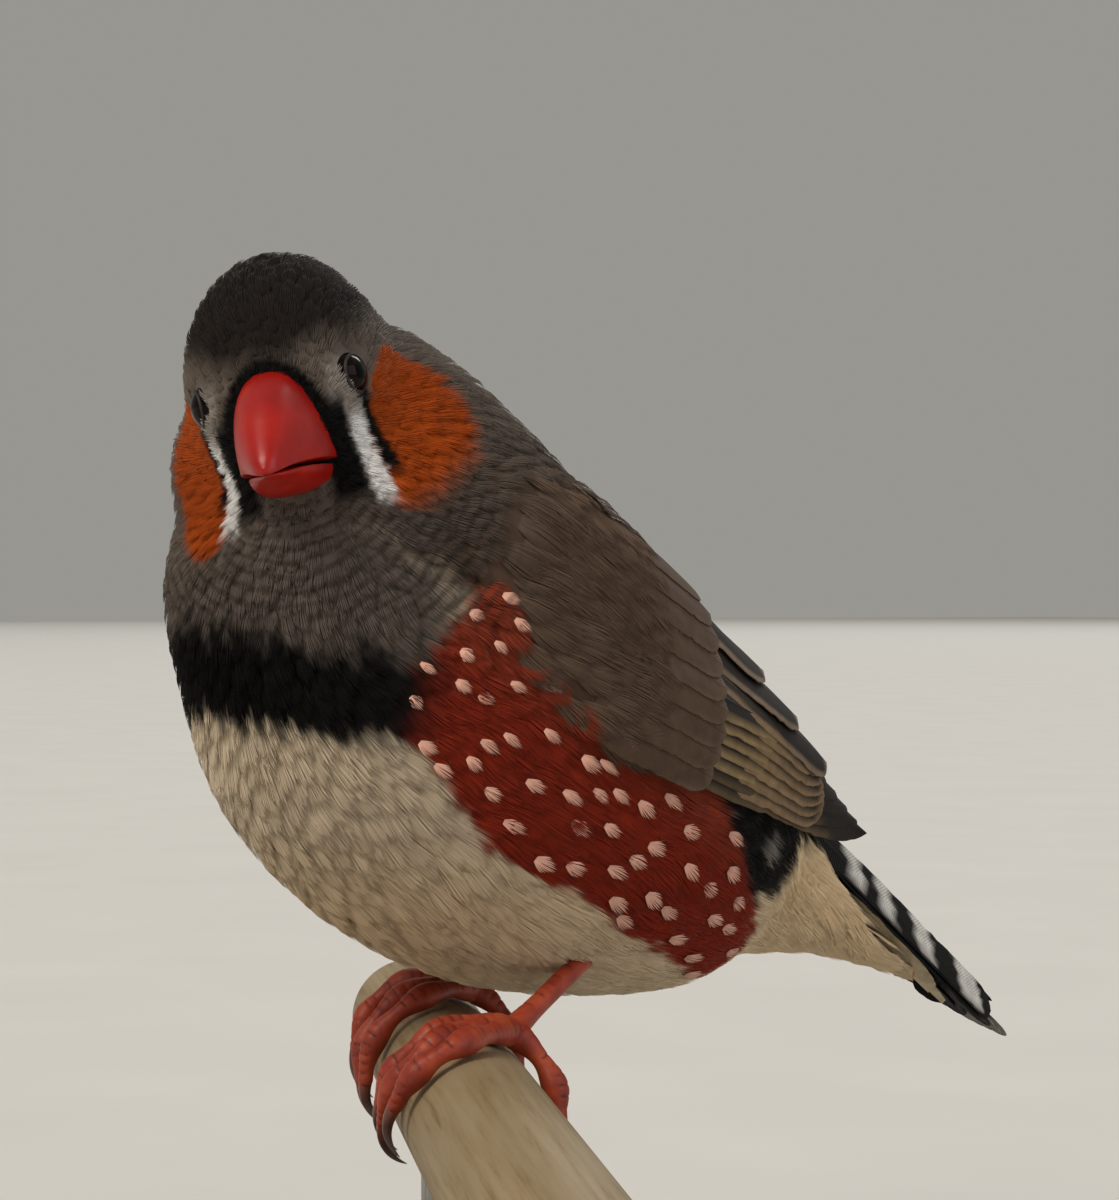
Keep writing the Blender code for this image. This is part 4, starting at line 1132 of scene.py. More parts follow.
def barb_mesh(chosen, count, seed):
    """Points, faces, colours and map places of the barbs of the chosen feathers."""
    draw = np.random.default_rng(seed)
    feathers = len(chosen)
    barbs = feathers * count
    stray, reaches, lifts, ruffle, widths = BARB_SPREADS
    place = np.tile(np.linspace(-1, 1, count), (feathers, 1))
    place += draw.normal(0, stray / count, place.shape)
    reach = (1.0 - TIP_SHORTER * np.abs(place) ** TIP_ROUND) * draw.uniform(*reaches, place.shape)
    stops = reach[..., None] * BARB_STOPS
    line = between(middle[chosen], stops * STEPS)
    normal = unit(between(up[chosen], stops * STEPS))
    side = unit(between(across[chosen], stops * STEPS))
    width, height, start = plan[chosen, 2], plan[chosen, 3], root_height[chosen]
    wide, high, start = width[:, None, None], height[:, None, None], start[:, None, None]
    open_to = np.sin(np.minimum(1.0, FAN_OPENS * stops) * math.pi / 2)
    offset = place[..., None] * (FAN_AT_ROOT + (1 - FAN_AT_ROOT) * open_to) * wide / 2
    lift = start + (high - start) * np.minimum(1.0, LIFT_OPENS * stops) ** LIFT_CURVE
    lift *= draw.uniform(*lifts, (feathers, 1, 1))
    lift -= CUP * wide * place[..., None] ** 2 * stops
    lift += draw.normal(0, ruffle, place.shape)[..., None] * (stops > 0.2)
    centre = line + side * offset[..., None] + normal * lift[..., None]
    thick = (width / count * BARB_OVERLAP)[:, None] * draw.uniform(*widths, place.shape)
    half = thick[..., None] * BARB_WIDTHS / 2
    ring = centre[:, :, :BARB_RINGS]
    out = side[:, :, :BARB_RINGS] * half[..., None]
    top = ring + normal[:, :, :BARB_RINGS] * (BARB_TALL * half)[..., None]
    rings = np.stack((ring - out, ring + out, top), axis=3).reshape(barbs, BARB_POINTS - 1, 3)
    points = np.concatenate((rings, centre[:, :, BARB_RINGS].reshape(barbs, 1, 3)), axis=1)
    faces = barb_faces()[None] + BARB_POINTS * np.arange(barbs)[:, None, None]
    tint = draw.normal(1.0, TINTS[0], (feathers, 1, 1)) * draw.normal(1.0, TINTS[1], (feathers, count, 1))
    shade = (BARB_SHADES * tint).reshape(barbs, -1, 1)
    asked = centre.reshape(-1, 3)
    ink = ask_colour(asked, chosen, count).reshape(barbs, -1, 3) * shade
    ink = np.concatenate((ink, barring(asked).reshape(barbs, -1, 1)), axis=2)
    home = unwrap(root_points[chosen])[:, None, None, :]
    patch = np.stack(np.broadcast_arrays((place[..., None] + 1) / 2, stops), axis=-1)
    patch = (patch * PATCH + home).reshape(barbs, -1, 2)
    colours, places = (
        np.concatenate((np.repeat(a[:, :BARB_RINGS], 3, axis=1), a[:, BARB_RINGS:]), axis=1)
        for a in (np.clip(ink, 0, 1), patch)
    )
    return points.reshape(-1, 3), faces.reshape(-1, 3), colours.reshape(-1, 4), places.reshape(-1, 2)


def ask_colour(points, chosen, count):
    """The plumage's colour at the barbs' rings, and the wing's own on its coverts."""
    ink = plumage_colour(points, spots=False)
    on_wing = np.repeat(root_on_wing[chosen], count * len(BARB_STOPS))
    ink[on_wing] = covert_colour(points[on_wing])
    ink[np.repeat(is_spot[chosen], count * len(BARB_STOPS))] = INK["spot"]
    return ink


def covert_colour(points):
    """Brown coverts, greyer towards the shoulder."""
    colours = np.tile(INK["mantle"] * COVERT_LIGHTER, (len(points), 1))
    grey = smoothstep(*SHOULDER_GREY, along_body(points)) * SHOULDER_GREY_BY
    lay(colours, "nape", grey)
    by, size, seed = COVERT_CLOUDS
    return colours * (1.0 + by * unevenness(points, size, seed))[:, None]


def joined_mesh(name, points, faces, colours, places):
    """A mesh straight from arrays, with its colours and its map for the bake."""
    mesh = bpy.data.meshes.new(name)
    mesh.vertices.add(len(points))
    mesh.vertices.foreach_set("co", points.astype(np.float32).ravel())
    mesh.loops.add(faces.size)
    mesh.loops.foreach_set("vertex_index", faces.astype(np.int32).ravel())
    mesh.polygons.add(len(faces))
    mesh.polygons.foreach_set("loop_start", np.arange(0, faces.size, 3, dtype=np.int32))
    mesh.update(calc_edges=True)
    colour_mesh(mesh, colours[:, :3], colours[:, 3])
    layer = mesh.uv_layers.new(name="OFBake")
    layer.data.foreach_set("uv", places[faces.ravel()].astype(np.float32).ravel())
    return object_of(name, mesh)


# %% [markdown]
# A pale flank spot is the tip of one feather. For every spot drawn before, the feather is found
# whose end lies nearest to it, and a small tuft of pale barbs is laid over that end. A spot with no
# free feather near it is left out, and two tips never share a place.

# %% Pale tips on the spotted feathers
SPOT_FROM = 0.58
SPOT_MIDDLE = 0.82
SPOT_REACH = 1.4
SPOT_APART = 1.6
SPOT_OUT = 4.0
SPOT_DEEP = 0.5
SPOT_SHRINKS = (14.0, 36.0)
SPOT_SIZE_LOW, SPOT_SIZE_LESS = 1.1, 0.3
SPOT_WIDTH = 1.15
SPOT_ROOT = 0.8
SPOT_RAISED = 0.1
SPOT_BARBS = 10
ends = between(middle, np.full((len(plan), 1, 1), SPOT_MIDDLE * STEPS))[:, 0, 0]
hosts, sizes = [], []
for side in SIDES.values():
    free_ends = ~root_on_wing & (ends[:, 0] * side > SPOT_OUT)
    free_ends &= depth_inside(FLANK_OUTLINE, ends[:, 1:]) > SPOT_DEEP
    for y, z, size, _ in SPOTS:
        gap = np.where(free_ends, np.hypot(ends[:, 1] - y, ends[:, 2] - z), np.inf)
        nearest = int(np.argmin(gap))
        if gap[nearest] < SPOT_REACH:
            hosts.append(nearest)
            sizes.append(size * (SPOT_SIZE_LOW - SPOT_SIZE_LESS * smoothstep(*SPOT_SHRINKS, z)))
            free_ends &= np.linalg.norm(ends - ends[nearest], axis=1) > SPOT_APART
spread = np.tile(np.linspace(SPOT_FROM, 1.0, STEPS + 1) * STEPS, (len(hosts), 1, 1))
tips = plan[hosts]
tip_roots = SPOT_ROOT * tips[:, 3] + SPOT_RAISED
tips[:, 2] = SPOT_WIDTH * np.array(sizes)
tips[:, 3] += SPOT_RAISED
tips[:, 4] = SPOT_BARBS
tip_lines = between(middle[hosts], spread)[:, 0]
root_height = np.concatenate((np.full(len(plan), -ROOT_SUNK), tip_roots))
is_spot = np.arange(len(plan) + len(hosts)) >= len(plan)
plan = np.concatenate((plan, tips))
root_points = np.concatenate((root_points, tip_lines[:, 0]))
root_on_wing = np.concatenate((root_on_wing, np.zeros(len(hosts), bool)))
up = np.concatenate((up, unit(between(up[hosts], spread)[:, 0])))
middle = np.concatenate((middle, tip_lines))
across = unit(np.cross(up, unit(np.gradient(middle, axis=1))))
print("pale tips:", len(hosts))

# %% [markdown]
# The coat is cut into pieces that a person would name, and each is kept under the number of faces
# that one piece may have. Where a feather belongs follows from its root: how far up the neck it
# is, and on the head and the body how far forward, out and up.

# %% Grow the coat
MOST_FACES = 190_000
FACES_EACH = len(barb_faces())
HEAD_ABOVE, NECK_ABOVE = 6.0, -2.0
FACE_FROM, FACE_SPLIT, CROWN_ABOVE = -2.0, -1.5, -1.0
BREAST_BEFORE, LOWER_BREAST_BEFORE, UNDERTAIL_BEHIND = -10.0, -8.0, 27.0
BELLY_HALF = 9.0


def region_of(point, on_wing):
    """The name of the coat piece that a feather belongs to, and the name of a broader group."""
    x, y, z = point
    side = "left" if x > 0 else "right"
    if on_wing:
        return f"coverts_{side}", "wing_feathers"
    neck = neck_height(y, z)
    if neck > HEAD_ABOVE:
        head = HEAD.inverted() @ Vector(point)
        if head.y < FACE_FROM:
            return ("face_upper" if head.z > FACE_SPLIT else "face_lower"), "head_plumage"
        cheek = f"cheek_{'left' if head.x > 0 else 'right'}"
        return ("crown" if head.z > CROWN_ABOVE else cheek), "head_plumage"
    if neck > NECK_ABOVE:
        return ("breast" if y < BREAST_BEFORE else "nape"), "neck_plumage"
    if y > UNDERTAIL_BEHIND:
        return "undertail", "rump_plumage"
    if z > back_height(y):
        return "back", "body_plumage"
    if y < LOWER_BREAST_BEFORE:
        return "lower_breast", "body_plumage"
    return (f"flank_{side}" if abs(x) > BELLY_HALF else "belly"), "body_plumage"


regions = {}
for i, (point, on_wing) in enumerate(zip(root_points, root_on_wing)):
    regions.setdefault(region_of(point, on_wing), []).append(i)
coat_faces = 0
for number, ((region, slot), members) in enumerate(sorted(regions.items())):
    members = np.array(members)
    members = members[np.argsort(root_points[members, 1])]
    counts = np.round(plan[:, 4]).astype(int)
    parts = math.ceil(counts[members].sum() * FACES_EACH / MOST_FACES)
    for part, block in enumerate(np.array_split(members, parts)):
        batches = []
        start = 0
        for count in np.unique(counts[block]):
            seed = 100 * number + 10 * part + count
            points, faces, colours, places = barb_mesh(block[counts[block] == count], count, seed)
            batches.append((points, faces + start, colours, places))
            start += len(points)
        name = f"plumage_{region}" + (f"_{part + 1}" if parts > 1 else "")
        piece = joined_mesh(name, *(np.concatenate(arrays) for arrays in zip(*batches)))
        coat_faces += len(piece.data.polygons)
        finish(piece, barbs)
print("coat:", coat_faces, "faces")
finish(skin, down, FLESH)

# %% [markdown]
# Flight feathers are single blades: a shaft with a vane on each side, thin, rounded or pointed at
# the tip and a little ragged at the edge. Each is a grid bent onto the wing or the tail and given
# a thickness. The places along and across it are kept on its points, for the fine lines of the
# barbs, which run obliquely outwards from the shaft.

# %% One blade
BLADE_HALF = (0.06, 0.22, 0.46, 0.7, 0.86, 0.95, 1)
BLADE_COLUMNS = (*(-w for w in reversed(BLADE_HALF)), 0, *BLADE_HALF)
BLADE_ROWS = 34
ROWS_TO_TIP = 1.5
BLADE_THICK = 0.1
BLADE_LEAST = 0.03
BLADE_WIDENS = (0.5, 1.6)
TIP_SHAPE = 2.2
RAGGED = 0.022
NICKS, NICK_FROM, NICK_DEPTH = 2, 8, 0.07
SHAFT_RISE = 0.07
SHAFT_THINS = 0.7
MAP_CELLS = 7
LONGEST_BLADE = 42.0


class Blades:
    """Feather blades joined in one mesh."""

    def __init__(self, seed):
        self.bm = bmesh.new()
        floats = self.bm.verts.layers.float
        self.along, self.across = floats.new("along"), floats.new("across")
        self.share, self.kind = floats.new("share"), floats.new("kind")
        self.draw = np.random.default_rng(seed)
        self.lengths = []

    def add(self, place, kind, root, tip, half, lift, tip_length, tilt=0.3, bow=0.0, camber=0.12):
        """One blade on a surface frame; lift is its height at the root and at the tip."""
        length = math.hypot(tip[0] - root[0], tip[1] - root[1])
        ahead = ((tip[0] - root[0]) / length, (tip[1] - root[1]) / length)
        ragged = self.draw.normal(0, RAGGED, (BLADE_ROWS + 1, 2))
        for side in (0, 1):
            for row in self.draw.integers(NICK_FROM, BLADE_ROWS - 3, NICKS):
                ragged[row, side] -= NICK_DEPTH
        columns = len(BLADE_COLUMNS) - 1
        made = bmesh.ops.create_grid(self.bm, x_segments=BLADE_ROWS, y_segments=columns, size=1.0)
        for vert in made["verts"]:
            row = round((vert.co.x + 1) / 2 * BLADE_ROWS)
            w = BLADE_COLUMNS[round((vert.co.y + 1) / 2 * columns)]
            u = 1 - (1 - row / BLADE_ROWS) ** ROWS_TO_TIP
            past = max(0.0, 1 - (1 - u) * length / tip_length)
            round_off = math.sqrt(max(0.0, 1 - past**TIP_SHAPE))
            wide = half * min(1.0, BLADE_WIDENS[0] + BLADE_WIDENS[1] * u) * round_off + BLADE_LEAST
            off = w * wide * (1 + ragged[row, int(w > 0)] * abs(w) ** 3)
            bend = bow * math.sin(math.pi * u)
            s = root[0] + (tip[0] - root[0]) * u - ahead[1] * (off + bend)
            t = root[1] + (tip[1] - root[1]) * u + ahead[0] * (off + bend)
            height = lift[0] + (lift[1] - lift[0]) * u - tilt * off / half - camber * w * w
            if w == 0:
                height += SHAFT_RISE * (1 - SHAFT_THINS * u)
            vert[self.along], vert[self.across] = u * length, off
            vert[self.share], vert[self.kind] = w, kind + len(self.lengths) / 100
            vert.co = place(s, t, height)
        faces = list({face for vert in made["verts"] for face in vert.link_faces})
        for face in faces:
            face.normal_update()
        bmesh.ops.solidify(self.bm, geom=faces, thickness=BLADE_THICK)
        self.lengths.append(length)

    def piece(self, name, mirrored=False):
        """The finished object, with a map in which every blade has a cell of its own."""
        bmesh.ops.triangulate(self.bm, faces=self.bm.faces)
        if mirrored:
            bmesh.ops.scale(self.bm, vec=(-1.0, 1.0, 1.0), verts=self.bm.verts)
            bmesh.ops.reverse_faces(self.bm, faces=self.bm.faces)
        uv = self.bm.loops.layers.uv.new("OFBake")
        for face in self.bm.faces:
            for loop in face.loops:
                vert = loop.vert
                number = round(vert[self.kind] % 1 * 100)
                corner = (number % MAP_CELLS, number // MAP_CELLS)
                down_blade = min(vert[self.along] / LONGEST_BLADE, 1.0)
                inside = (0.1 + 0.8 * down_blade, 0.5 + 0.4 * vert[self.share])
                loop[uv].uv = [(c + i) / MAP_CELLS for c, i in zip(corner, inside)]
        obj = object_from(name, self.bm)
        ink_blades(obj.data, self.lengths)
        return obj


# %% [markdown]
# Barbs are drawn by a wave along the blade that leans away from the shaft on both sides, so the
# lines meet it in a V. Real barbs are a tenth of a millimetre apart, too fine to show, so they are
# drawn a third of a millimetre apart. A slow noise about a millimetre across lightens and darkens
# them in patches, as wear does. The keratin itself is matt, with only a dull gloss.

# %% Vane finish
BARB_PERIOD = 0.34
BARB_LEAN = 1.5
BARB_RELIEF = 0.04
WEAR_PER_MM = 0.9
MULTIPLY = {"data_type": "RGBA", "blend_type": "MULTIPLY"}

vane, tree, shader = new_material("feather_vane", Roughness=0.66, Specular_IOR_Level=0.18)
blade_along, blade_across, blade_ink = (
    add_node(tree, "Attribute", attribute_name=name) for name in ("along", "across", "plumage")
)
place = add_node(tree, "TexCoord").outputs["Object"]
off_shaft = add_node(tree, "Math", {0: blade_across.outputs["Fac"]}, operation="ABSOLUTE")
leaning = {0: off_shaft, 1: -BARB_LEAN, 2: blade_along.outputs["Fac"]}
leaning = add_node(tree, "Math", leaning, operation="MULTIPLY_ADD")
wave = wave_over(tree, leaning, BARB_PERIOD)
shown = add_node(tree, "MapRange", {"Value": wave, "From Min": -1.0})
lines = add_node(tree, "ValToRGB", {"Fac": shown}, ((0.0, "#dcdcdc"), (0.6, "#ffffff")))
wear = {"Vector": place, "Scale": WEAR_PER_MM / MM, "Detail": 4.0}
wear = add_node(tree, "TexNoise", wear)
patches = add_node(tree, "ValToRGB", {"Fac": wear}, ((0.25, "#d6d6d6"), (0.7, "#ffffff")))
lined = {0: 1.0, 6: blade_ink.outputs["Color"], 7: lines}
lined = add_node(tree, "Mix", lined, **MULTIPLY)
worn = {0: 1.0, 6: lined.outputs[2], 7: patches}
worn = add_node(tree, "Mix", worn, **MULTIPLY)
relief = {"Height": wave, "Strength": 0.35, "Distance": BARB_RELIEF * MM}
relief = add_node(tree, "Bump", relief)
connect(shader, {"Base Color": worn.outputs[2], "Normal": relief})

# %% [markdown]
# Colours of the wing: brown coverts with faint paler tips, dark tertials with clear buff edges,
# secondaries and primaries whose outer webs are buff, so that the closed wing shows a pale panel
# crossed by narrow dark lines, and blackish tips. The tail coverts are black with white bars, bent
# to a shallow V on top and slanted at the sides, and those under the tail are cream. Each kind has
# two inks, and its mask says where on the blade the second one lies.

# %% Colours of the blades
COVERT, TERTIAL, SECONDARY, PRIMARY, RECTRIX, TAIL_TOP, TAIL_SIDE, UNDERTAIL = range(8)
BLADE_INKS = {
    COVERT: ("#5e4838", "#7d6857"),
    TERTIAL: ("#261e19", "#8f7b66"),
    SECONDARY: ("#33271f", "#917757"),
    PRIMARY: ("#261e19", "#a0865f"),
    RECTRIX: ("#0c0a09", "#9a9287"),
    TAIL_TOP: ("#0c0b0a", "#e9e4da"),
    TAIL_SIDE: ("#0c0b0a", "#f2eee6"),
    UNDERTAIL: ("#efdcba", "#f2e4ca"),
}
TIP_EDGE = (1.1, 0.3)
COVERT_RIM, COVERT_RIM_END, COVERT_BY = (0.72, 0.95), (6, 2), 0.4
TERTIAL_RIM = (0.74, 0.9)
PANEL_START, PANEL_WIDENS, PANEL_FROM, PANEL_EDGE = -0.7, 0.56, (5.0, 21.0), 0.08
PANEL_TIP_BY = 0.8
PRIMARY_WEB, PRIMARY_END = (-0.6, -0.78), (5.0, 7.0)
PRIMARY_BY, LOWEST_PRIMARIES_BY = 0.95, 0.3
RECTRIX_TIP, TIPPED_FROM = (4.2, 3.0), 32.9
TAIL_BARS = ((9.7, 1.15), (14.4, 1.2), (20.5, 1.4), (28.0, 1.8))
BAR_SOFT = 0.2
SIDE_SLANT = 1.3
TOP_SLANT = 0.8
TOP_BARE_SHAFT = (0.04, 0.14)
SIDE_BARE_WEB = (0.62, 0.36)
FEATHERS_A_SIDE = 8
BLADE_TINT = 0.05
SHAFT_DARK, SHAFT_EDGE = 0.35, (0.07, 0.0)


def ink_blades(mesh, lengths):
    """Colours every point of the blades from its kind and its place on the blade."""
    values = []
    for name in ("along", "share", "kind"):
        read = np.empty(len(mesh.vertices), np.float32)
        mesh.attributes[name].data.foreach_get("value", read)
        values.append(read.astype(float))
    along, share, kind = values
    kinds = np.floor(kind + 1e-4).astype(int)
    number = np.round(kind % 1 * 100).astype(int)
    length = np.array(lengths)[number]
    to_tip = length - along
    edge = np.abs(share)
    tip_edge = smoothstep(*TIP_EDGE, to_tip)
    rim = smoothstep(*COVERT_RIM, edge) * smoothstep(*COVERT_RIM_END, to_tip)
    panel = PANEL_START + PANEL_WIDENS * smoothstep(*PANEL_FROM, to_tip)
    panel = smoothstep(panel + PANEL_EDGE, panel - PANEL_EDGE, share)
    web = smoothstep(*PRIMARY_WEB, share) * smoothstep(*PRIMARY_END, to_tip)
    on_top = kinds == TAIL_TOP
    down = share * np.where(number < FEATHERS_A_SIDE, 1.0, -1.0)
    slant = np.where(on_top, SIDE_SLANT + TOP_SLANT * (1 - edge), -SIDE_SLANT * down)
    bars = sum(
        smoothstep(half + BAR_SOFT, half - BAR_SOFT, np.abs(along + slant - bar)) for bar, half in TAIL_BARS
    )
    bars *= np.where(on_top, smoothstep(*TOP_BARE_SHAFT, edge), smoothstep(*SIDE_BARE_WEB, down))
    masks = {
        COVERT: COVERT_BY * np.maximum(rim, tip_edge),
        TERTIAL: np.maximum(smoothstep(*TERTIAL_RIM, edge), tip_edge),
        SECONDARY: np.maximum(panel, PANEL_TIP_BY * tip_edge),
        PRIMARY: web * np.where(number > 1, PRIMARY_BY, LOWEST_PRIMARIES_BY),
        RECTRIX: smoothstep(*RECTRIX_TIP, to_tip) * (length > TIPPED_FROM),
        TAIL_TOP: np.minimum(bars, 1.0),
        TAIL_SIDE: np.minimum(bars, 1.0),
    }
    mask = np.select([kinds == kind for kind in masks], list(masks.values()))[:, None]
    inks = np.array([[linear(colour) for colour in pair] for pair in BLADE_INKS.values()])
    tint = np.random.default_rng(3).normal(1.0, BLADE_TINT, len(lengths))[number]
    colours = (inks[kinds, 0] * (1 - mask) + inks[kinds, 1] * mask) * tint[:, None]
    colours *= (1 - SHAFT_DARK * smoothstep(*SHAFT_EDGE, edge) * (kinds < TAIL_TOP))[:, None]
    colour_mesh(mesh, np.clip(colours, 0, 1))


# %% [markdown]
# The wing is stacked as a real one folds: primaries lowest, secondaries over them, three tertials
# on top, then a row of larger coverts whose roots hide under the small ones. A row of feathers
# changes evenly from its lowest feather up, so each of its measures is given as a first value and
# the step to the next feather, and where needed a third value by which the steps grow.

# %% Wings
FLIGHT_ROWS = {
    PRIMARY: {
        "count": 7, "half": 1.75, "tip_length": 8.5, "tilt": 0.18, "bow": -0.5,
        "root": ((20.0, -0.6), (-9.2, 1.0)), "tip": ((53.6, -1.75, -0.06), (0.05, 0.36)),
        "lift": ((-0.5, 0.05), (-0.5, 0.1)),
    },
    SECONDARY: {
        "count": 7, "half": 1.8, "tip_length": 4.6, "tilt": 0.17, "bow": -0.3,
        "root": ((17.0,), (-8.6, 1.6)), "tip": ((45.4, -0.6), (-2.5, 0.58)),
        "lift": ((-1.0, 0.05), (-0.02, 0.08)),
    },
    TERTIAL: {
        "count": 3, "half": 2.4, "tip_length": 4.4, "tilt": 0.2, "bow": 0.4, "camber": 0.3,
        "root": ((18.0, -1.0), (1.2, 2.3)), "tip": ((43.6, -4.6), (1.1, 1.7)),
        "lift": ((-1.3, 0.1), (0.95, 0.12)),
    },
    COVERT: {
        "count": 9, "half": 1.75, "tip_length": 2.6, "tilt": 0.16,
        "root": ((14.0,), (0.05, 0.1)), "tip": ((27.8, -0.35), (0.05, 0.1)),
        "lift": ((-0.6, 0.02), (0.4, 0.03)),
    },
}
WING_SEED = 11


def in_row(measures, k):
    """The measures of a row's feather number k."""
    return [sum(term * k**power for power, term in enumerate(terms)) for terms in measures]


def wing_share(place):
    """A place along the wing and across it, for a share of its width."""
    low, high = wing_station(place[0])[:2]
    return (place[0], low + (high - low) * place[1])


for word, side in SIDES.items():
    blades = Blades(WING_SEED)
    for kind, row in FLIGHT_ROWS.items():
        row = dict(row)
        count, *measures = (row.pop(name) for name in ("count", "root", "tip", "lift"))
        for k in range(count):
            root, tip, lift = (in_row(measure, k) for measure in measures)
            if kind == COVERT:
                root, tip = wing_share(root), wing_share(tip)
            blades.add(wing_place, kind, root, tip, lift=lift, **row)
    wing = blades.piece(f"wing_feathers_{word}", mirrored=side < 0)
    finish(wing, vane, (f"wing_{word}",))
    finish(cores[side], down)

# %% [markdown]
# The tail has twelve plain black feathers. Black coverts with white bars, the mark that shows
# beside the rump in the photo, lie over them and along their sides, and cream coverts lie under
# them in two layers. The whole tail is rolled a little to its left, as the photo shows it. Small
# differences in height keep the two sides' feathers apart where they cross the middle.

# %% Tail
TAIL_SEED = 12
TAIL_ROOT = (34.0, 22.6)
TAIL_ROLL = 0.14
TAIL_ROUND = 0.015
TAIL_RISE = Vector((0, -math.sin(TAIL_SLOPE), math.cos(TAIL_SLOPE)))
TAIL_TIP_LENGTH = 3.0
TAIL_ROOT_SUNK = 0.3
RECTRICES = 6
RECTRIX_PLACES = ((1.0,), (0.5, 0.42)), ((36.5, -0.5, -0.1), (0.45, 0.36))
RECTRIX_HEIGHTS = (-0.95, -0.22)
RECTRIX_HALF, RECTRIX_RISE, RECTRIX_TILT, RECTRIX_CAMBER = 1.6, 0.1, -0.03, 0.05
LEFT_LOWER = 0.1
COVERT_ROOT_OUT, COVERT_TIP_OUT, COVERT_CAMBER, LEFT_COVERT_RISE = 0.8, 0.72, 0.15, 0.05
TAIL_COVERTS = (
    {"x": 4.0, "height": -0.9, "tilt": 1.5, "end": 31.5, "half": 0.85, "kind": TAIL_SIDE},
    {"x": 1.1, "height": 0.5, "tilt": 0.15, "end": 32.5, "half": 1.45, "kind": TAIL_TOP},
)
UNDERTAIL_COVERTS = (
    (-1.5, 9.0, 27.0, 0.0),
    (1.5, 9.0, 26.0, 0.0),
    (0.0, 9.0, 28.5, 0.0),
    (-1.5, 3.0, 20.5, 0.8),
    (1.5, 3.0, 20.5, 0.8),
    (0.0, 3.0, 22.5, 0.9),
)
UNDERTAIL_HEIGHTS = ((-3.4, -1.2), (-3.1, -0.4))
UNDERTAIL_HALF, UNDERTAIL_TIP, UNDERTAIL_TILT, UNDERTAIL_CAMBER = 1.6, 10.0, -0.35, -0.4


def tail_place(s, x, h):
    """A point of the tail: s back along it, x to the left, h up from its face."""
    rise = h - TAIL_ROUND * x * x - TAIL_ROLL * x
    return Vector((x, *TAIL_ROOT)) + Vector(TAIL_LIE) * s + TAIL_RISE * rise


blades = Blades(TAIL_SEED)
for side in SIDES.values():
    on_left = side > 0
    for k in range(RECTRICES):
        root, tip = (in_row(measure, k) for measure in RECTRIX_PLACES)
        height = in_row((RECTRIX_HEIGHTS,), k)[0] - on_left * LEFT_LOWER
        blades.add(
            tail_place, RECTRIX, (root[0], side * root[1]), (tip[0], side * tip[1]), RECTRIX_HALF,
            (height - TAIL_ROOT_SUNK, height + RECTRIX_RISE), TAIL_TIP_LENGTH,
            tilt=RECTRIX_TILT * side, camber=RECTRIX_CAMBER,
        )
    for covert in TAIL_COVERTS:
        x, height = covert["x"] * side, covert["height"]
        blades.add(
            tail_place, covert["kind"], (0.0, COVERT_ROOT_OUT * x), (covert["end"], COVERT_TIP_OUT * x),
            covert["half"], (height - TAIL_ROOT_SUNK, height + on_left * LEFT_COVERT_RISE),
            TAIL_TIP_LENGTH, tilt=covert["tilt"] * side, camber=COVERT_CAMBER,
        )
for x, start, end, lower in UNDERTAIL_COVERTS:
    heights = in_row(UNDERTAIL_HEIGHTS, lower)
    blades.add(
        tail_place, UNDERTAIL, (start, x), (end, 0.5 * x), UNDERTAIL_HALF, heights, UNDERTAIL_TIP,
        tilt=UNDERTAIL_TILT * x, camber=UNDERTAIL_CAMBER,
    )
finish(blades.piece("tail_blades"), vane, ("tail",))

# %% [markdown]
# The bill is a short cone of horn in two halves, deep at the base and waxy red. The halves are
# bridged from rings whose width, height and mouth line follow the solids', with many more sides.
# Each station gives y, the half width, and the upper and lower edge.

# %% Bill
UPPER_BILL = (
    (-6.4, 3.75, 3.5, -5.0),
    (-9.0, 3.7, 3.3, -4.5),
    (-11.5, 3.35, 2.7, -4.0),
    (-14.0, 2.65, 1.4, -3.6),
    (-16.3, 1.75, -0.5, -3.4),
    (-17.9, 0.95, -2.0, -3.4),
    (-18.5, 0.3, -2.9, -3.4),
)
LOWER_BILL = (
    (-6.0, 3.65, -5.3, -7.3),
    (-9.0, 3.3, -4.8, -6.7),
    (-11.5, 2.85, -4.3, -6.0),
    (-14.0, 2.1, -3.9, -5.0),
    (-16.0, 1.2, -3.7, -4.3),
    (-17.2, 0.4, -3.6, -3.8),
)
BILL_SIDES = 40
BILL_RINGS = 36
RINGS_TO_TIP = 1.4
MOUTH_GAP = 0.1
MOUTH_BULGE = 0.18
ARCH_HEIGHT, ARCH_WIDTH = 0.9, 0.85


def bill_half(name, stations, way):
    """One half of the bill, as rings bridged from base to tip; way is 1 above the mouth, -1 below."""
    bm = bmesh.new()
    edges = []
    for i in range(BILL_RINGS + 1):
        row = (len(stations) - 1) * (1 - (1 - i / BILL_RINGS) ** RINGS_TO_TIP)
        y, half, high, low = smooth_through(stations, row)
        flat, arch = (low + MOUTH_GAP, high) if way > 0 else (high - MOUTH_GAP, low)
        ring = bmesh.ops.create_circle(bm, segments=BILL_SIDES, radius=1.0, cap_ends=False)["verts"]
        for vert in ring:
            around = math.atan2(vert.co.y, vert.co.x)
            rise, out = math.sin(around), math.cos(around)
            z = (arch - flat) * rise**ARCH_HEIGHT if rise >= 0 else MOUTH_BULGE * way * rise
            x = half * math.copysign(abs(out) ** ARCH_WIDTH, out)
            vert.co = HEAD @ Vector((x, y, flat + z))
        edges.append([edge for edge in bm.edges if edge.verts[0] in ring and edge.verts[1] in ring])
    for first, second in zip(edges, edges[1:]):
        bmesh.ops.bridge_loops(bm, edges=first + second)
    bmesh.ops.holes_fill(bm, edges=[edge for edge in bm.edges if edge.is_boundary], sides=0)
    bmesh.ops.triangulate(bm, faces=bm.faces)
    bmesh.ops.recalc_face_normals(bm, faces=bm.faces)
    return object_from(name, bm)
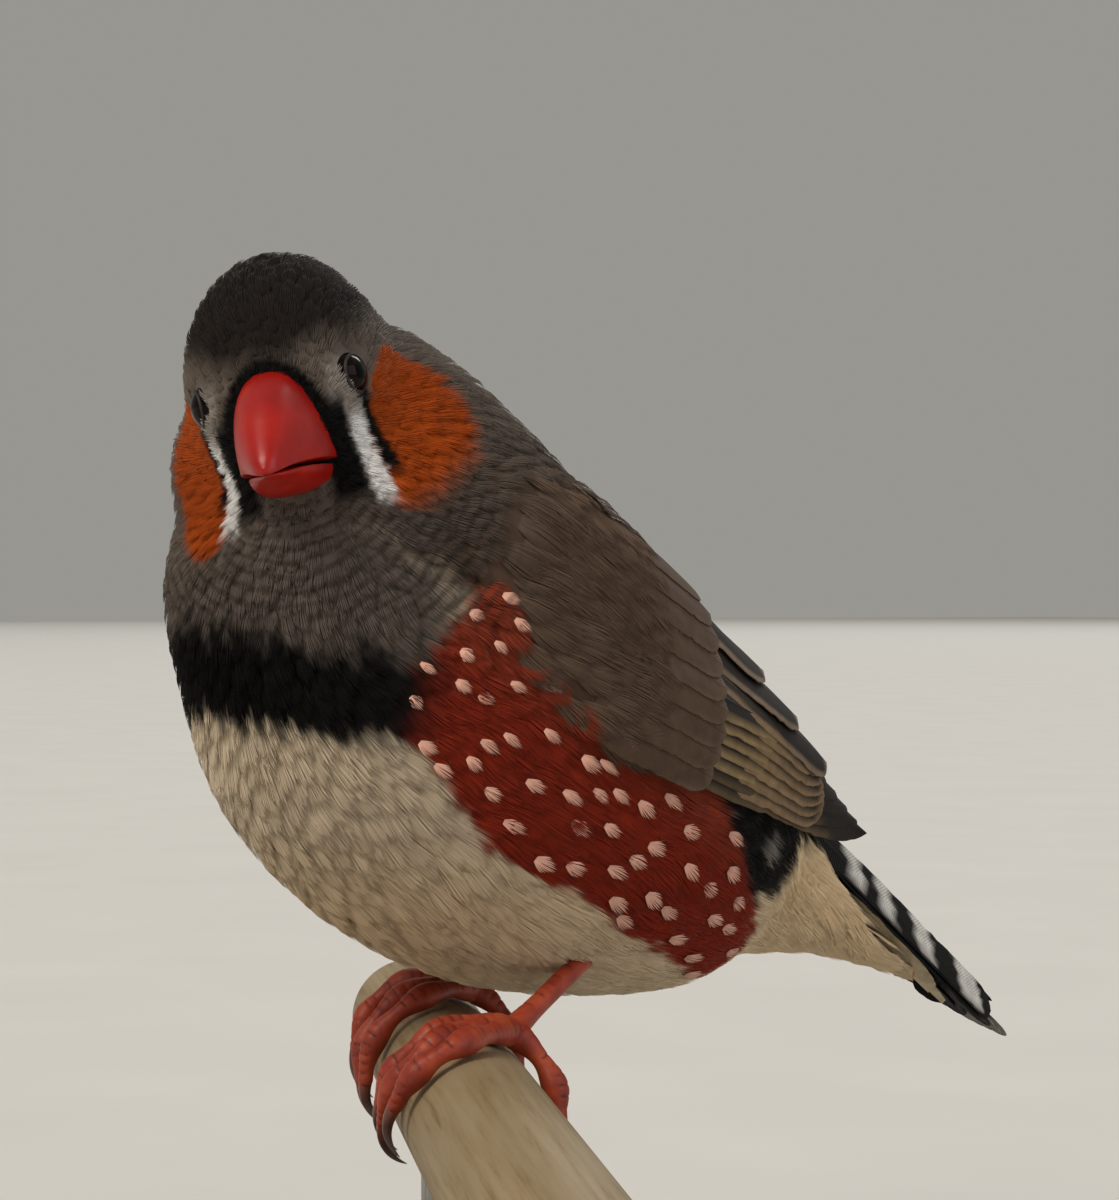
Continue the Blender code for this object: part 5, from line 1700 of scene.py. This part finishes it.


# %% [markdown]
# Bill horn is smooth and waxy: deep red, clouded with slightly lighter and more orange patches of
# about 4 mm, with light scattering just under the surface and a faint fine grain. The nostrils at
# the base are small dark ovals, painted shade that stands for their hollows.

# %% Horn of the bill
HORN_CLOUDS_PER_MM = 0.26
HORN_GRAINS_PER_MM = 1.5
HORN_RELIEF = 0.06
NOSTRIL = (1.75, -8.7, 2.3)
NOSTRIL_TURN = 35.0
NOSTRIL_SIZE = (0.36, 0.5, 0.3)
horn, tree, shader = new_material(
    "bill_horn", Roughness=0.34, Specular_IOR_Level=0.38, Subsurface_Weight=0.12,
    Subsurface_Scale=0.6 * MM, Subsurface_Radius=(1.0, 0.25, 0.12),
)
place = add_node(tree, "TexCoord").outputs["Object"]
clouds = {"Vector": place, "Scale": HORN_CLOUDS_PER_MM / MM, "Detail": 3.0}
clouds = add_node(tree, "TexNoise", clouds)
stops = ((0.3, "#8f0f09"), (0.55, "#aa150d"), (0.75, "#ba2816"))
red = add_node(tree, "ValToRGB", {"Fac": clouds}, stops)
grain = {"Vector": place, "Scale": HORN_GRAINS_PER_MM / MM, "Detail": 4.0}
grain = add_node(tree, "TexNoise", grain)
relief = {"Height": grain, "Strength": 0.15, "Distance": HORN_RELIEF * MM}
relief = add_node(tree, "Bump", relief)
connect(shader, {"Base Color": red, "Normal": relief})
# painted shade: the nostrils are dark ovals of one flat colour that stand for the shade inside their
# openings
nostril_painted_shade, _, _ = new_material("nostril_painted_shade", Roughness=0.5, Base_Color=rgba("#2c0f0b"))

upper = bill_half("bill_upper_horn", UPPER_BILL, 1)
lower = bill_half("bill_lower_horn", LOWER_BILL, -1)
finish(upper, horn, ("bill_upper",))
finish(lower, horn, ("bill_lower",))
bm = bmesh.new()
for side in SIDES.values():
    place = HEAD @ Matrix.Translation((NOSTRIL[0] * side, *NOSTRIL[1:]))
    place @= Matrix.Rotation(math.radians(NOSTRIL_TURN * side), 4, "Y")
    place @= Matrix.Diagonal((*NOSTRIL_SIZE, 1.0))
    bmesh.ops.create_uvsphere(bm, u_segments=24, v_segments=12, radius=1.0, matrix=place)
finish(object_from("nostrils", bm), nostril_painted_shade)

# %% [markdown]
# The eye is a glossy ball under a clear wet surface, dark brown with a black pupil, set in a thin
# ring of dark bare lid. The lid is a small circle spun round the eye's axis, a little uneven in
# height.

# %% Eyes and lids
BALL_RADIUS = 2.02
LID_RING = 1.46
LID_THICK = 0.13
LID_WAVES = ((0.06, 3, 0.5), (0.03, 11, 0.0))
BEHIND_IRIS = 1.5
eye_wet, tree, shader = new_material("eye_wet", Roughness=0.05, IOR=1.22, Specular_IOR_Level=0.4)
reach = add_node(tree, "Attribute", attribute_name="from_pupil")
stops = ((0.0, "#030202"), (0.5, "#040302"), (0.6, "#190b06"), (0.9, "#100705"))
iris = add_node(tree, "ValToRGB", {"Fac": reach.outputs["Fac"]}, stops)
connect(shader, {"Base Color": iris})
lid_skin, _, _ = new_material("lid_skin", Roughness=0.6, Base_Color=rgba("#1d1a18"))
for word, side in SIDES.items():
    mirror = Matrix.Diagonal((side, 1.0, 1.0))
    axis, centre = (mirror @ EYE_AXIS).normalized(), mirror @ EYE_CENTRE
    socket = HEAD @ Matrix.Translation(centre) @ axis.to_track_quat("Z", "Y").to_matrix().to_4x4()
    bm = bmesh.new()
    bmesh.ops.create_uvsphere(bm, u_segments=64, v_segments=40, radius=BALL_RADIUS, matrix=socket)
    back = socket.inverted()
    reach = bm.verts.layers.float.new("from_pupil")
    for vert in bm.verts:
        near = back @ vert.co
        vert[reach] = math.hypot(near.x, near.y) / LID_RING if near.z > 0 else BEHIND_IRIS
    finish(object_from(f"eyeball_{word}", bm), eye_wet, (f"eye_{word}",))
    bm = bmesh.new()
    start = Matrix.Translation((LID_RING, 0, 0)) @ Matrix.Rotation(math.pi / 2, 4, "X")
    bmesh.ops.create_circle(bm, segments=16, radius=LID_THICK, matrix=start)
    bmesh.ops.spin(
        bm, geom=bm.verts[:] + bm.edges[:], cent=(0, 0, 0), axis=(0, 0, 1),
        angle=2 * math.pi, steps=72, use_merge=True,
    )
    bmesh.ops.remove_doubles(bm, verts=bm.verts, dist=0.001)
    bmesh.ops.recalc_face_normals(bm, faces=bm.faces)
    height = math.sqrt(BALL_RADIUS**2 - LID_RING**2)
    for vert in bm.verts:
        around = math.atan2(vert.co.y, vert.co.x)
        swell = 1 + sum(by * math.sin(times * around + late) for by, times, late in LID_WAVES)
        vert.co.z = vert.co.z * swell + height
    bmesh.ops.transform(bm, matrix=socket, verts=bm.verts)
    finish(object_from(f"lid_{word}", bm), lid_skin)

# %% [markdown]
# The feet grip the dowel with three toes in front and one behind. Each toe is bridged from rings
# along a path that winds round the dowel, swollen at the joints. Toes, pad and lower leg are then
# fused into one even skin, so that they blend where they meet. A path is a row of places on the
# dowel: how far along it, and the angle round it from its top towards the bird's front.

# %% Paths of the toes
PERCH_RADIUS = 5.5
PERCH_MIDDLE = Vector((-0.8, -1.0, 0.0))
PERCH_TURN = math.radians(-26.5)
PERCH_AXIS = Vector((math.cos(PERCH_TURN), math.sin(PERCH_TURN), 0))
PERCH_BACK = Vector((-math.sin(PERCH_TURN), math.cos(PERCH_TURN), 0))
TOE_RADIUS = 0.95
TOE_OFF = PERCH_RADIUS + TOE_RADIUS + 0.4
TOE_STEPS = 44
TOE_THINS = (1.04, 0.16)
TOE_END, TOE_END_FLAT, TOE_END_LEAST = 0.92, 0.75, 0.05
KNUCKLE = 0.2
KNUCKLE_BACK = 0.08
KNUCKLE_LIFT = 0.1
FEET = {
    "left": {
        "inner": ((14.0, -28), (14.2, 0), (15.4, 34), (14.4, 62), (13.0, 88)),
        "middle": ((14.0, -28), (16.8, 4), (19.4, 36), (18.2, 66), (15.6, 97)),
        "outer": ((14.0, -28), (19.6, -6), (23.4, 20), (23.6, 48), (22.0, 76)),
        "hind": ((14.0, -28), (14.8, -54), (15.6, -80), (16.2, -98)),
    },
    "right": {
        "inner": ((-9.5, -26), (-5.2, -4), (-1.8, 28), (-1.8, 62), (-2.4, 96)),
        "middle": ((-9.5, -26), (-8.2, 4), (-7.2, 40), (-7.0, 74), (-7.0, 104)),
        "outer": ((-9.5, -26), (-12.2, 0), (-13.6, 32), (-13.4, 60), (-12.4, 86)),
        "hind": ((-9.5, -26), (-9.3, -54), (-9.0, -80), (-8.6, -98)),
    },
}


def perch_point(along, angle, radius):
    """A point round the dowel: the angle, in degrees, is from its top towards the bird's front."""
    a = math.radians(angle)
    out = Vector((0, 0, 1)) * math.cos(a) - PERCH_BACK * math.sin(a)
    return PERCH_MIDDLE + PERCH_AXIS * along + out * radius


def add_tube(bm, points, radii, sides, flatten=1.0):
    """A closed tube through the points, as bridged rings."""
    rings = []
    last = len(points) - 1
    across = (points[1] - points[0]).normalized().orthogonal().normalized()
    for i, (point, radius) in enumerate(zip(points, radii)):
        ahead = (points[min(i + 1, last)] - points[max(i - 1, 0)]).normalized()
        across = (across - ahead * across.dot(ahead)).normalized()
        turn = Matrix((across, ahead.cross(across), ahead)).transposed().to_4x4()
        size = Matrix.Diagonal((radius, radius * flatten, 1.0, 1.0))
        place = Matrix.Translation(point) @ turn @ size
        ring = bmesh.ops.create_circle(
            bm, segments=sides, radius=1.0, cap_ends=i in (0, last), matrix=place
        )
        verts = set(ring["verts"])
        rings.append([e for vert in verts for e in vert.link_edges if e.other_vert(vert) in verts])
    for first, second in zip(rings, rings[1:]):
        bmesh.ops.bridge_loops(bm, edges=list(set(first + second)))


def toe_line(places):
    """Points and radii along a toe, with a pad at each joint and a rounded end."""
    joints = len(places) - 2
    points, radii = [], []
    for k in range(TOE_STEPS + 1):
        u = k / TOE_STEPS
        along, angle = smooth_through(places, u * (len(places) - 1))
        pad = KNUCKLE * math.cos(2 * math.pi * joints * (u - KNUCKLE_BACK))
        past = max(0.0, (u - TOE_END) / (1 - TOE_END))
        end = math.sqrt(max(TOE_END_LEAST, 1.0 - past**2 * TOE_END_FLAT))
        points.append(perch_point(along, angle, TOE_OFF + KNUCKLE_LIFT * pad))
        radii.append((TOE_RADIUS * (TOE_THINS[0] - TOE_THINS[1] * u) + pad) * end)
    return points, radii


# %% [markdown]
# Hard skin covers toes and leg in overlapping plates on the upper side: horn-red, mottled, darker
# between the plates, satin, and grained with scales of a quarter of a millimetre. The plates are
# pressed into the fused surface: every point finds its place along the nearest toe, and sinks a
# little at the border between two plates.

# %% Legs and feet
LEG_TOPS = {"left": (8.6, 9.0, 12.8), "right": (-9.0, 12.0, 11.5)}
LEG_RADIUS = 0.85
LEG_STEPS = 30
LEG_PAST_TOP = 1.6
ANKLE_SWELL, ANKLE_AT, ANKLE_REACH = 0.22, 1, 3.5
KNEE_SWELL, KNEE_POWER = 0.3, 6
LEG_PLATES_FROM = 2
LEG_PLATES_START = 0.37
FOOT_PAD = (1.3, 1.3, 1.12)
FOOT_VOXEL = 0.15
FOOT_ROUNDS = 5
PLATE = 0.82
PLATE_DEPTH = 0.075
PLATE_SHARP = 5
PLATE_STEP, PLATE_STEP_MOST = 0.9, 0.3
PLATE_SIDES = (-0.25, 0.35)
SKIN_CLOUDS_PER_MM = 0.42
SCALES_PER_MM = 4.2
SCALE_RELIEF = 0.03
foot_skin, tree, shader = new_material(
    "scaly_leg_skin", Roughness=0.5, Specular_IOR_Level=0.4,
    Subsurface_Weight=0.08, Subsurface_Scale=0.5 * MM,
)
plate = add_node(tree, "Attribute", attribute_name="plate")
place = add_node(tree, "TexCoord").outputs["Object"]
clouds = {"Vector": place, "Scale": SKIN_CLOUDS_PER_MM / MM, "Detail": 5.0}
clouds = add_node(tree, "TexNoise", clouds)
stops = ((0.28, "#7c2716"), (0.5, "#9a3821"), (0.72, "#b44f2e"))
red = add_node(tree, "ValToRGB", {"Fac": clouds}, stops)
stops = ((0.0, "#8a6a60"), (0.45, "#f0e6e0"), (1.0, "#ffffff"))
lines = add_node(tree, "ValToRGB", {"Fac": plate.outputs["Fac"]}, stops)
plated = {0: 1.0, 6: red, 7: lines}
plated = add_node(tree, "Mix", plated, **MULTIPLY)
scales = add_node(tree, "TexVoronoi", {"Vector": place, "Scale": SCALES_PER_MM / MM})
relief = {"Height": scales, "Strength": 0.3, "Distance": SCALE_RELIEF * MM}
relief = add_node(tree, "Bump", relief)
connect(shader, {"Base Color": plated.outputs[2], "Normal": relief})


def leg_radius(i):
    """The leg's radius at a step up from the foot, thicker at the ankle and towards the knee."""
    ankle = ANKLE_SWELL * math.exp(-(((i - ANKLE_AT) / ANKLE_REACH) ** 2))
    return LEG_RADIUS * (1.0 + ankle + KNEE_SWELL * (i / LEG_STEPS) ** KNEE_POWER)


for word, toes in FEET.items():
    bm = bmesh.new()
    samples, reaches, tops = [], [], []
    hub = perch_point(*toes["middle"][0], TOE_OFF)
    for places in toes.values():
        points, radii = toe_line(places)
        add_tube(bm, points, radii, 20)
        reach = 0.0
        for before, point in zip(points[:1] + points, points):
            reach += (point - before).length
            off = point - PERCH_MIDDLE
            samples.append(point)
            reaches.append(reach)
            tops.append((off - PERCH_AXIS * off.dot(PERCH_AXIS)).normalized())
    top = Vector(LEG_TOPS[word])
    shin = (top - hub).normalized()
    length = (top - hub).length + LEG_PAST_TOP
    points = [hub + shin * length * i / LEG_STEPS for i in range(LEG_STEPS + 1)]
    add_tube(bm, points, [leg_radius(i) for i in range(LEG_STEPS + 1)], 24)
    front = (Vector((0, -1, 0)) - shin * -shin.y).normalized()
    for i in range(LEG_PLATES_FROM, LEG_STEPS + 1):
        samples.append(points[i])
        reaches.append(LEG_PLATES_START + length * i / LEG_STEPS)
        tops.append(front)
    pad = Matrix.Translation(hub) @ Matrix.Diagonal((*FOOT_PAD, 1.0))
    bmesh.ops.create_uvsphere(bm, u_segments=32, v_segments=20, radius=1.0, matrix=pad)
    bmesh.ops.recalc_face_normals(bm, faces=bm.faces)
    foot = remeshed(f"foot_skin_{word}", bm, FOOT_VOXEL, FOOT_ROUNDS)
    points, normals = points_of(foot.data), points_of(foot.data, "normal")
    samples, reaches, tops = np.array(samples), np.array(reaches), np.array(tops)
    nearest = np.argmin(np.linalg.norm(points[:, None] - samples[None], axis=2), axis=1)
    ways = np.gradient(samples, axis=0)[nearest]
    step = np.einsum("ij,ij->i", points - samples[nearest], ways)
    step = PLATE_STEP * np.clip(step, -PLATE_STEP_MOST, PLATE_STEP_MOST)
    border = np.abs(2 * ((reaches[nearest] + step) / PLATE % 1) - 1) ** PLATE_SHARP
    border *= smoothstep(*PLATE_SIDES, np.einsum("ij,ij->i", normals, tops[nearest]))
    points -= normals * (border * PLATE_DEPTH)[:, None]
    foot.data.vertices.foreach_set("co", points.ravel())
    kept = foot.data.attributes.new("plate", "FLOAT", "POINT")
    kept.data.foreach_set("value", (1.0 - border).astype(np.float32))
    foot.data.update()
    finish(foot, foot_skin, (f"leg_{word}", f"foot_{word}"))

# %% [markdown]
# Claws are hooked cones of horn, brown at the root and paler and half clear at the point. Each
# carries on from its toe's end and leaves the dowel a little.

# %% Claws
CLAW_STEPS = 28
CLAW_BACK = 0.35
CLAW_SWEEP = 4.55
CLAW_LIFT, CLAW_DROP = 0.3, 0.45
CLAW_RADIUS, CLAW_TAPER, CLAW_POINT = 0.56, 0.75, 0.02
CLAW_FLAT = 0.8
claw_horn, tree, shader = new_material(
    "claw_horn", Roughness=0.32, Subsurface_Weight=0.15, Subsurface_Scale=0.4 * MM
)
reach = add_node(tree, "Attribute", attribute_name="reach")
stops = ((0.0, "#7a3a2a"), (0.35, "#4c352c"), (1.0, "#8b8078"))
brown = add_node(tree, "ValToRGB", {"Fac": reach.outputs["Fac"]}, stops)
connect(shader, {"Base Color": brown})


def add_claw(name, places):
    """A hooked cone that carries on from the toe's end, off the dowel."""
    (near_along, near_angle), (along, angle) = places[-2:]
    slide = (along - near_along) / abs(angle - near_angle)
    way = 1.0 if angle > near_angle else -1.0
    points, radii = [], []
    for k in range(CLAW_STEPS + 1):
        u = k / CLAW_STEPS
        turn = math.degrees((CLAW_SWEEP * u - CLAW_BACK) / TOE_OFF)
        off = TOE_OFF + CLAW_LIFT * math.sin(math.pi * u) - CLAW_DROP * u * u
        points.append(perch_point(along + slide * turn, angle + way * turn, off))
        radii.append(CLAW_RADIUS * (1 - u) ** CLAW_TAPER + CLAW_POINT)
    bm = bmesh.new()
    add_tube(bm, points, radii, 18, CLAW_FLAT)
    bmesh.ops.triangulate(bm, faces=bm.faces)
    bmesh.ops.recalc_face_normals(bm, faces=bm.faces)
    layer = bm.verts.layers.float.new("reach")
    for vert in bm.verts:
        nearest = min(range(CLAW_STEPS + 1), key=lambda i: (points[i] - vert.co).length)
        vert[layer] = nearest / CLAW_STEPS
    return object_from(name, bm)


for word, toes in FEET.items():
    for toe, places in toes.items():
        claw = add_claw(f"claw_horn_{word}_{toe}", places)
        finish(claw, claw_horn, (f"claw_{word}_{toe}",))

# %% [markdown]
# The dowel is a length of plain turned wood, cut square with its edges just broken. Fine dark
# grain runs along it, drawn as a noise of two thirds of a millimetre that is stretched more than
# twenty times along the dowel, over broad paler and darker clouds. The finish is worked out in the
# dowel's own frame, turned from the scene's, and sanded wood gives it a dull, dry sheen.

# %% Dowel
PERCH_ENDS = (-36.0, 76.0)
PERCH_CHAMFER = 0.6
SHARP_ANGLE = math.radians(40)
WOOD_STRETCH = 0.045
FIBRES_PER_MM = 1.5
WOOD_CLOUDS_PER_MM = 0.26
WOOD_RELIEF = 0.06


def turned(name, radius, depth, place, segments, bevel, steps):
    """A cylinder with rounded rims, as from a lathe."""
    bm = bmesh.new()
    bmesh.ops.create_cone(
        bm, cap_ends=True, segments=segments, radius1=radius, radius2=radius, depth=depth
    )
    rims = [edge for edge in bm.edges if abs(edge.verts[0].co.z - edge.verts[1].co.z) < 1e-4]
    bmesh.ops.bevel(
        bm, geom=rims, offset=bevel, segments=steps, profile=0.5, affect="EDGES", material=-1
    )
    bmesh.ops.transform(bm, matrix=place, verts=bm.verts)
    obj = object_from(name, bm)
    obj.data.set_sharp_from_angle(angle=SHARP_ANGLE)
    return obj


perch_turn = Matrix.Rotation(PERCH_TURN, 4, "Z") @ Matrix.Translation((sum(PERCH_ENDS) / 2, 0, 0))
perch_place = Matrix.Translation(PERCH_MIDDLE) @ perch_turn @ Matrix.Rotation(math.pi / 2, 4, "Y")
perch_length = PERCH_ENDS[1] - PERCH_ENDS[0]
perch = turned("dowel", PERCH_RADIUS, perch_length, perch_place, 128, PERCH_CHAMFER, 3)

wood, tree, shader = new_material("dowel_wood", Roughness=0.62, Specular_IOR_Level=0.3)
place = add_node(tree, "TexCoord").outputs["Object"]
own = {"Vector": place, "Rotation": (0.0, 0.0, PERCH_TURN)}
own = add_node(tree, "Mapping", own, vector_type="TEXTURE")
stretch = {"Vector": own, "Scale": (WOOD_STRETCH, 1.0, 1.0)}
stretch = add_node(tree, "Mapping", stretch)
fibre = {"Vector": stretch, "Scale": FIBRES_PER_MM / MM, "Detail": 6.0, "Roughness": 0.62}
fibre = add_node(tree, "TexNoise", fibre)
clouds = {"Vector": stretch, "Scale": WOOD_CLOUDS_PER_MM / MM, "Detail": 3.0}
clouds = add_node(tree, "TexNoise", clouds)
stops = ((0.3, "#8f7d60"), (0.5, "#988668"), (0.7, "#a19072"))
pale = add_node(tree, "ValToRGB", {"Fac": clouds}, stops)
stops = ((0.28, "#cdbfa8"), (0.45, "#f4efe6"), (0.6, "#ffffff"))
dark = add_node(tree, "ValToRGB", {"Fac": fibre}, stops)
grained = {0: 1.0, 6: pale, 7: dark}
grained = add_node(tree, "Mix", grained, **MULTIPLY)
relief = {"Height": fibre, "Strength": 0.25, "Distance": WOOD_RELIEF * MM}
relief = add_node(tree, "Bump", relief)
connect(shader, {"Base Color": grained.outputs[2], "Normal": relief})
finish(perch, wood, ("perch",))

# %% [markdown]
# The stand is plain: a round base with a rounded rim, lacquered dark, and two short rods of drawn
# steel that hold the dowel in shallow saddles. The lacquer is satin, with a faint mottle of about
# 17 mm and the fine unevenness of a sprayed coat. Drawing leaves the steel with lines along it, a
# sixth of a millimetre apart, which break its gloss.

# %% Stand
BASE_RADIUS = 48.0
BASE_THICKNESS = 6.0
BASE_ROUND = 1.0
ROD_RADIUS = 1.8
ROD_PLACES = {"far": -6.0, "near": 32.0}
SADDLE_GAP = 0.05
MOTTLES_PER_MM = 0.06
SPRAY_PER_MM = 1.4
SPRAY_RELIEF = 0.04
STEEL_STRETCH = 0.02
STEEL_LINES_PER_MM = 6.0
STEEL_RELIEF = 0.02

lacquer, tree, shader = new_material(
    "base_lacquer", Roughness=0.36, Specular_IOR_Level=0.45, Coat_Weight=0.15, Coat_Roughness=0.3
)
place = add_node(tree, "TexCoord").outputs["Object"]
mottle = {"Vector": place, "Scale": MOTTLES_PER_MM / MM, "Detail": 6.0}
mottle = add_node(tree, "TexNoise", mottle)
dark = add_node(tree, "ValToRGB", {"Fac": mottle}, ((0.3, "#2a2725"), (0.7, "#35312e")))
spray = add_node(tree, "TexNoise", {"Vector": place, "Scale": SPRAY_PER_MM / MM})
relief = {"Height": spray, "Strength": 0.08, "Distance": SPRAY_RELIEF * MM}
relief = add_node(tree, "Bump", relief)
connect(shader, {"Base Color": dark, "Normal": relief})

base_place = Matrix.Translation((0, 0, BASE_THICKNESS / 2 - PERCH_HEIGHT))
base = turned(
    "stand_base_lacquered", BASE_RADIUS, BASE_THICKNESS, base_place, 192, BASE_ROUND, 5
)
finish(base, lacquer, ("stand_base",))

steel, tree, shader = new_material("drawn_steel", Metallic=1.0, Roughness=0.32)
place = add_node(tree, "TexCoord").outputs["Object"]
stretch = {"Vector": place, "Scale": (1.0, 1.0, STEEL_STRETCH)}
stretch = add_node(tree, "Mapping", stretch)
drawn = {"Vector": stretch, "Scale": STEEL_LINES_PER_MM / MM, "Detail": 3.0}
drawn = add_node(tree, "TexNoise", drawn)
grey = add_node(tree, "ValToRGB", {"Fac": drawn}, ((0.3, "#8c8b88"), (0.7, "#b5b3af")))
relief = {"Height": drawn, "Strength": 0.12, "Distance": STEEL_RELIEF * MM}
relief = add_node(tree, "Bump", relief)
connect(shader, {"Base Color": grey, "Normal": relief})

for word, along in ROD_PLACES.items():
    foot = BASE_THICKNESS - PERCH_HEIGHT
    centre = perch_point(along, 0, 0)
    bm = bmesh.new()
    bmesh.ops.create_cone(
        bm, cap_ends=True, cap_tris=True, segments=72, radius1=ROD_RADIUS, radius2=ROD_RADIUS, depth=1.0
    )
    for vert in bm.verts:
        off = vert.co.x * PERCH_BACK.x + vert.co.y * PERCH_BACK.y
        saddle = -math.sqrt((PERCH_RADIUS + SADDLE_GAP) ** 2 - off * off)
        height = saddle if vert.co.z > 0 else foot
        vert.co = (centre.x + vert.co.x, centre.y + vert.co.y, height)
    rod = object_from(f"stand_rod_{word}_steel", bm)
    rod.data.set_sharp_from_angle(angle=SHARP_ANGLE)
    finish(rod, steel, (f"stand_rod_{word}",))

# %% [markdown]
# Last, the box of the finished model is set beside the box of the solids and printed.

# %% Print the sizes
sizes = {
    "cad_box": [list(corner) for corner in CAD_BOX],
    "visual_box": [list(corner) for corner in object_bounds()],
}
print(sizes)
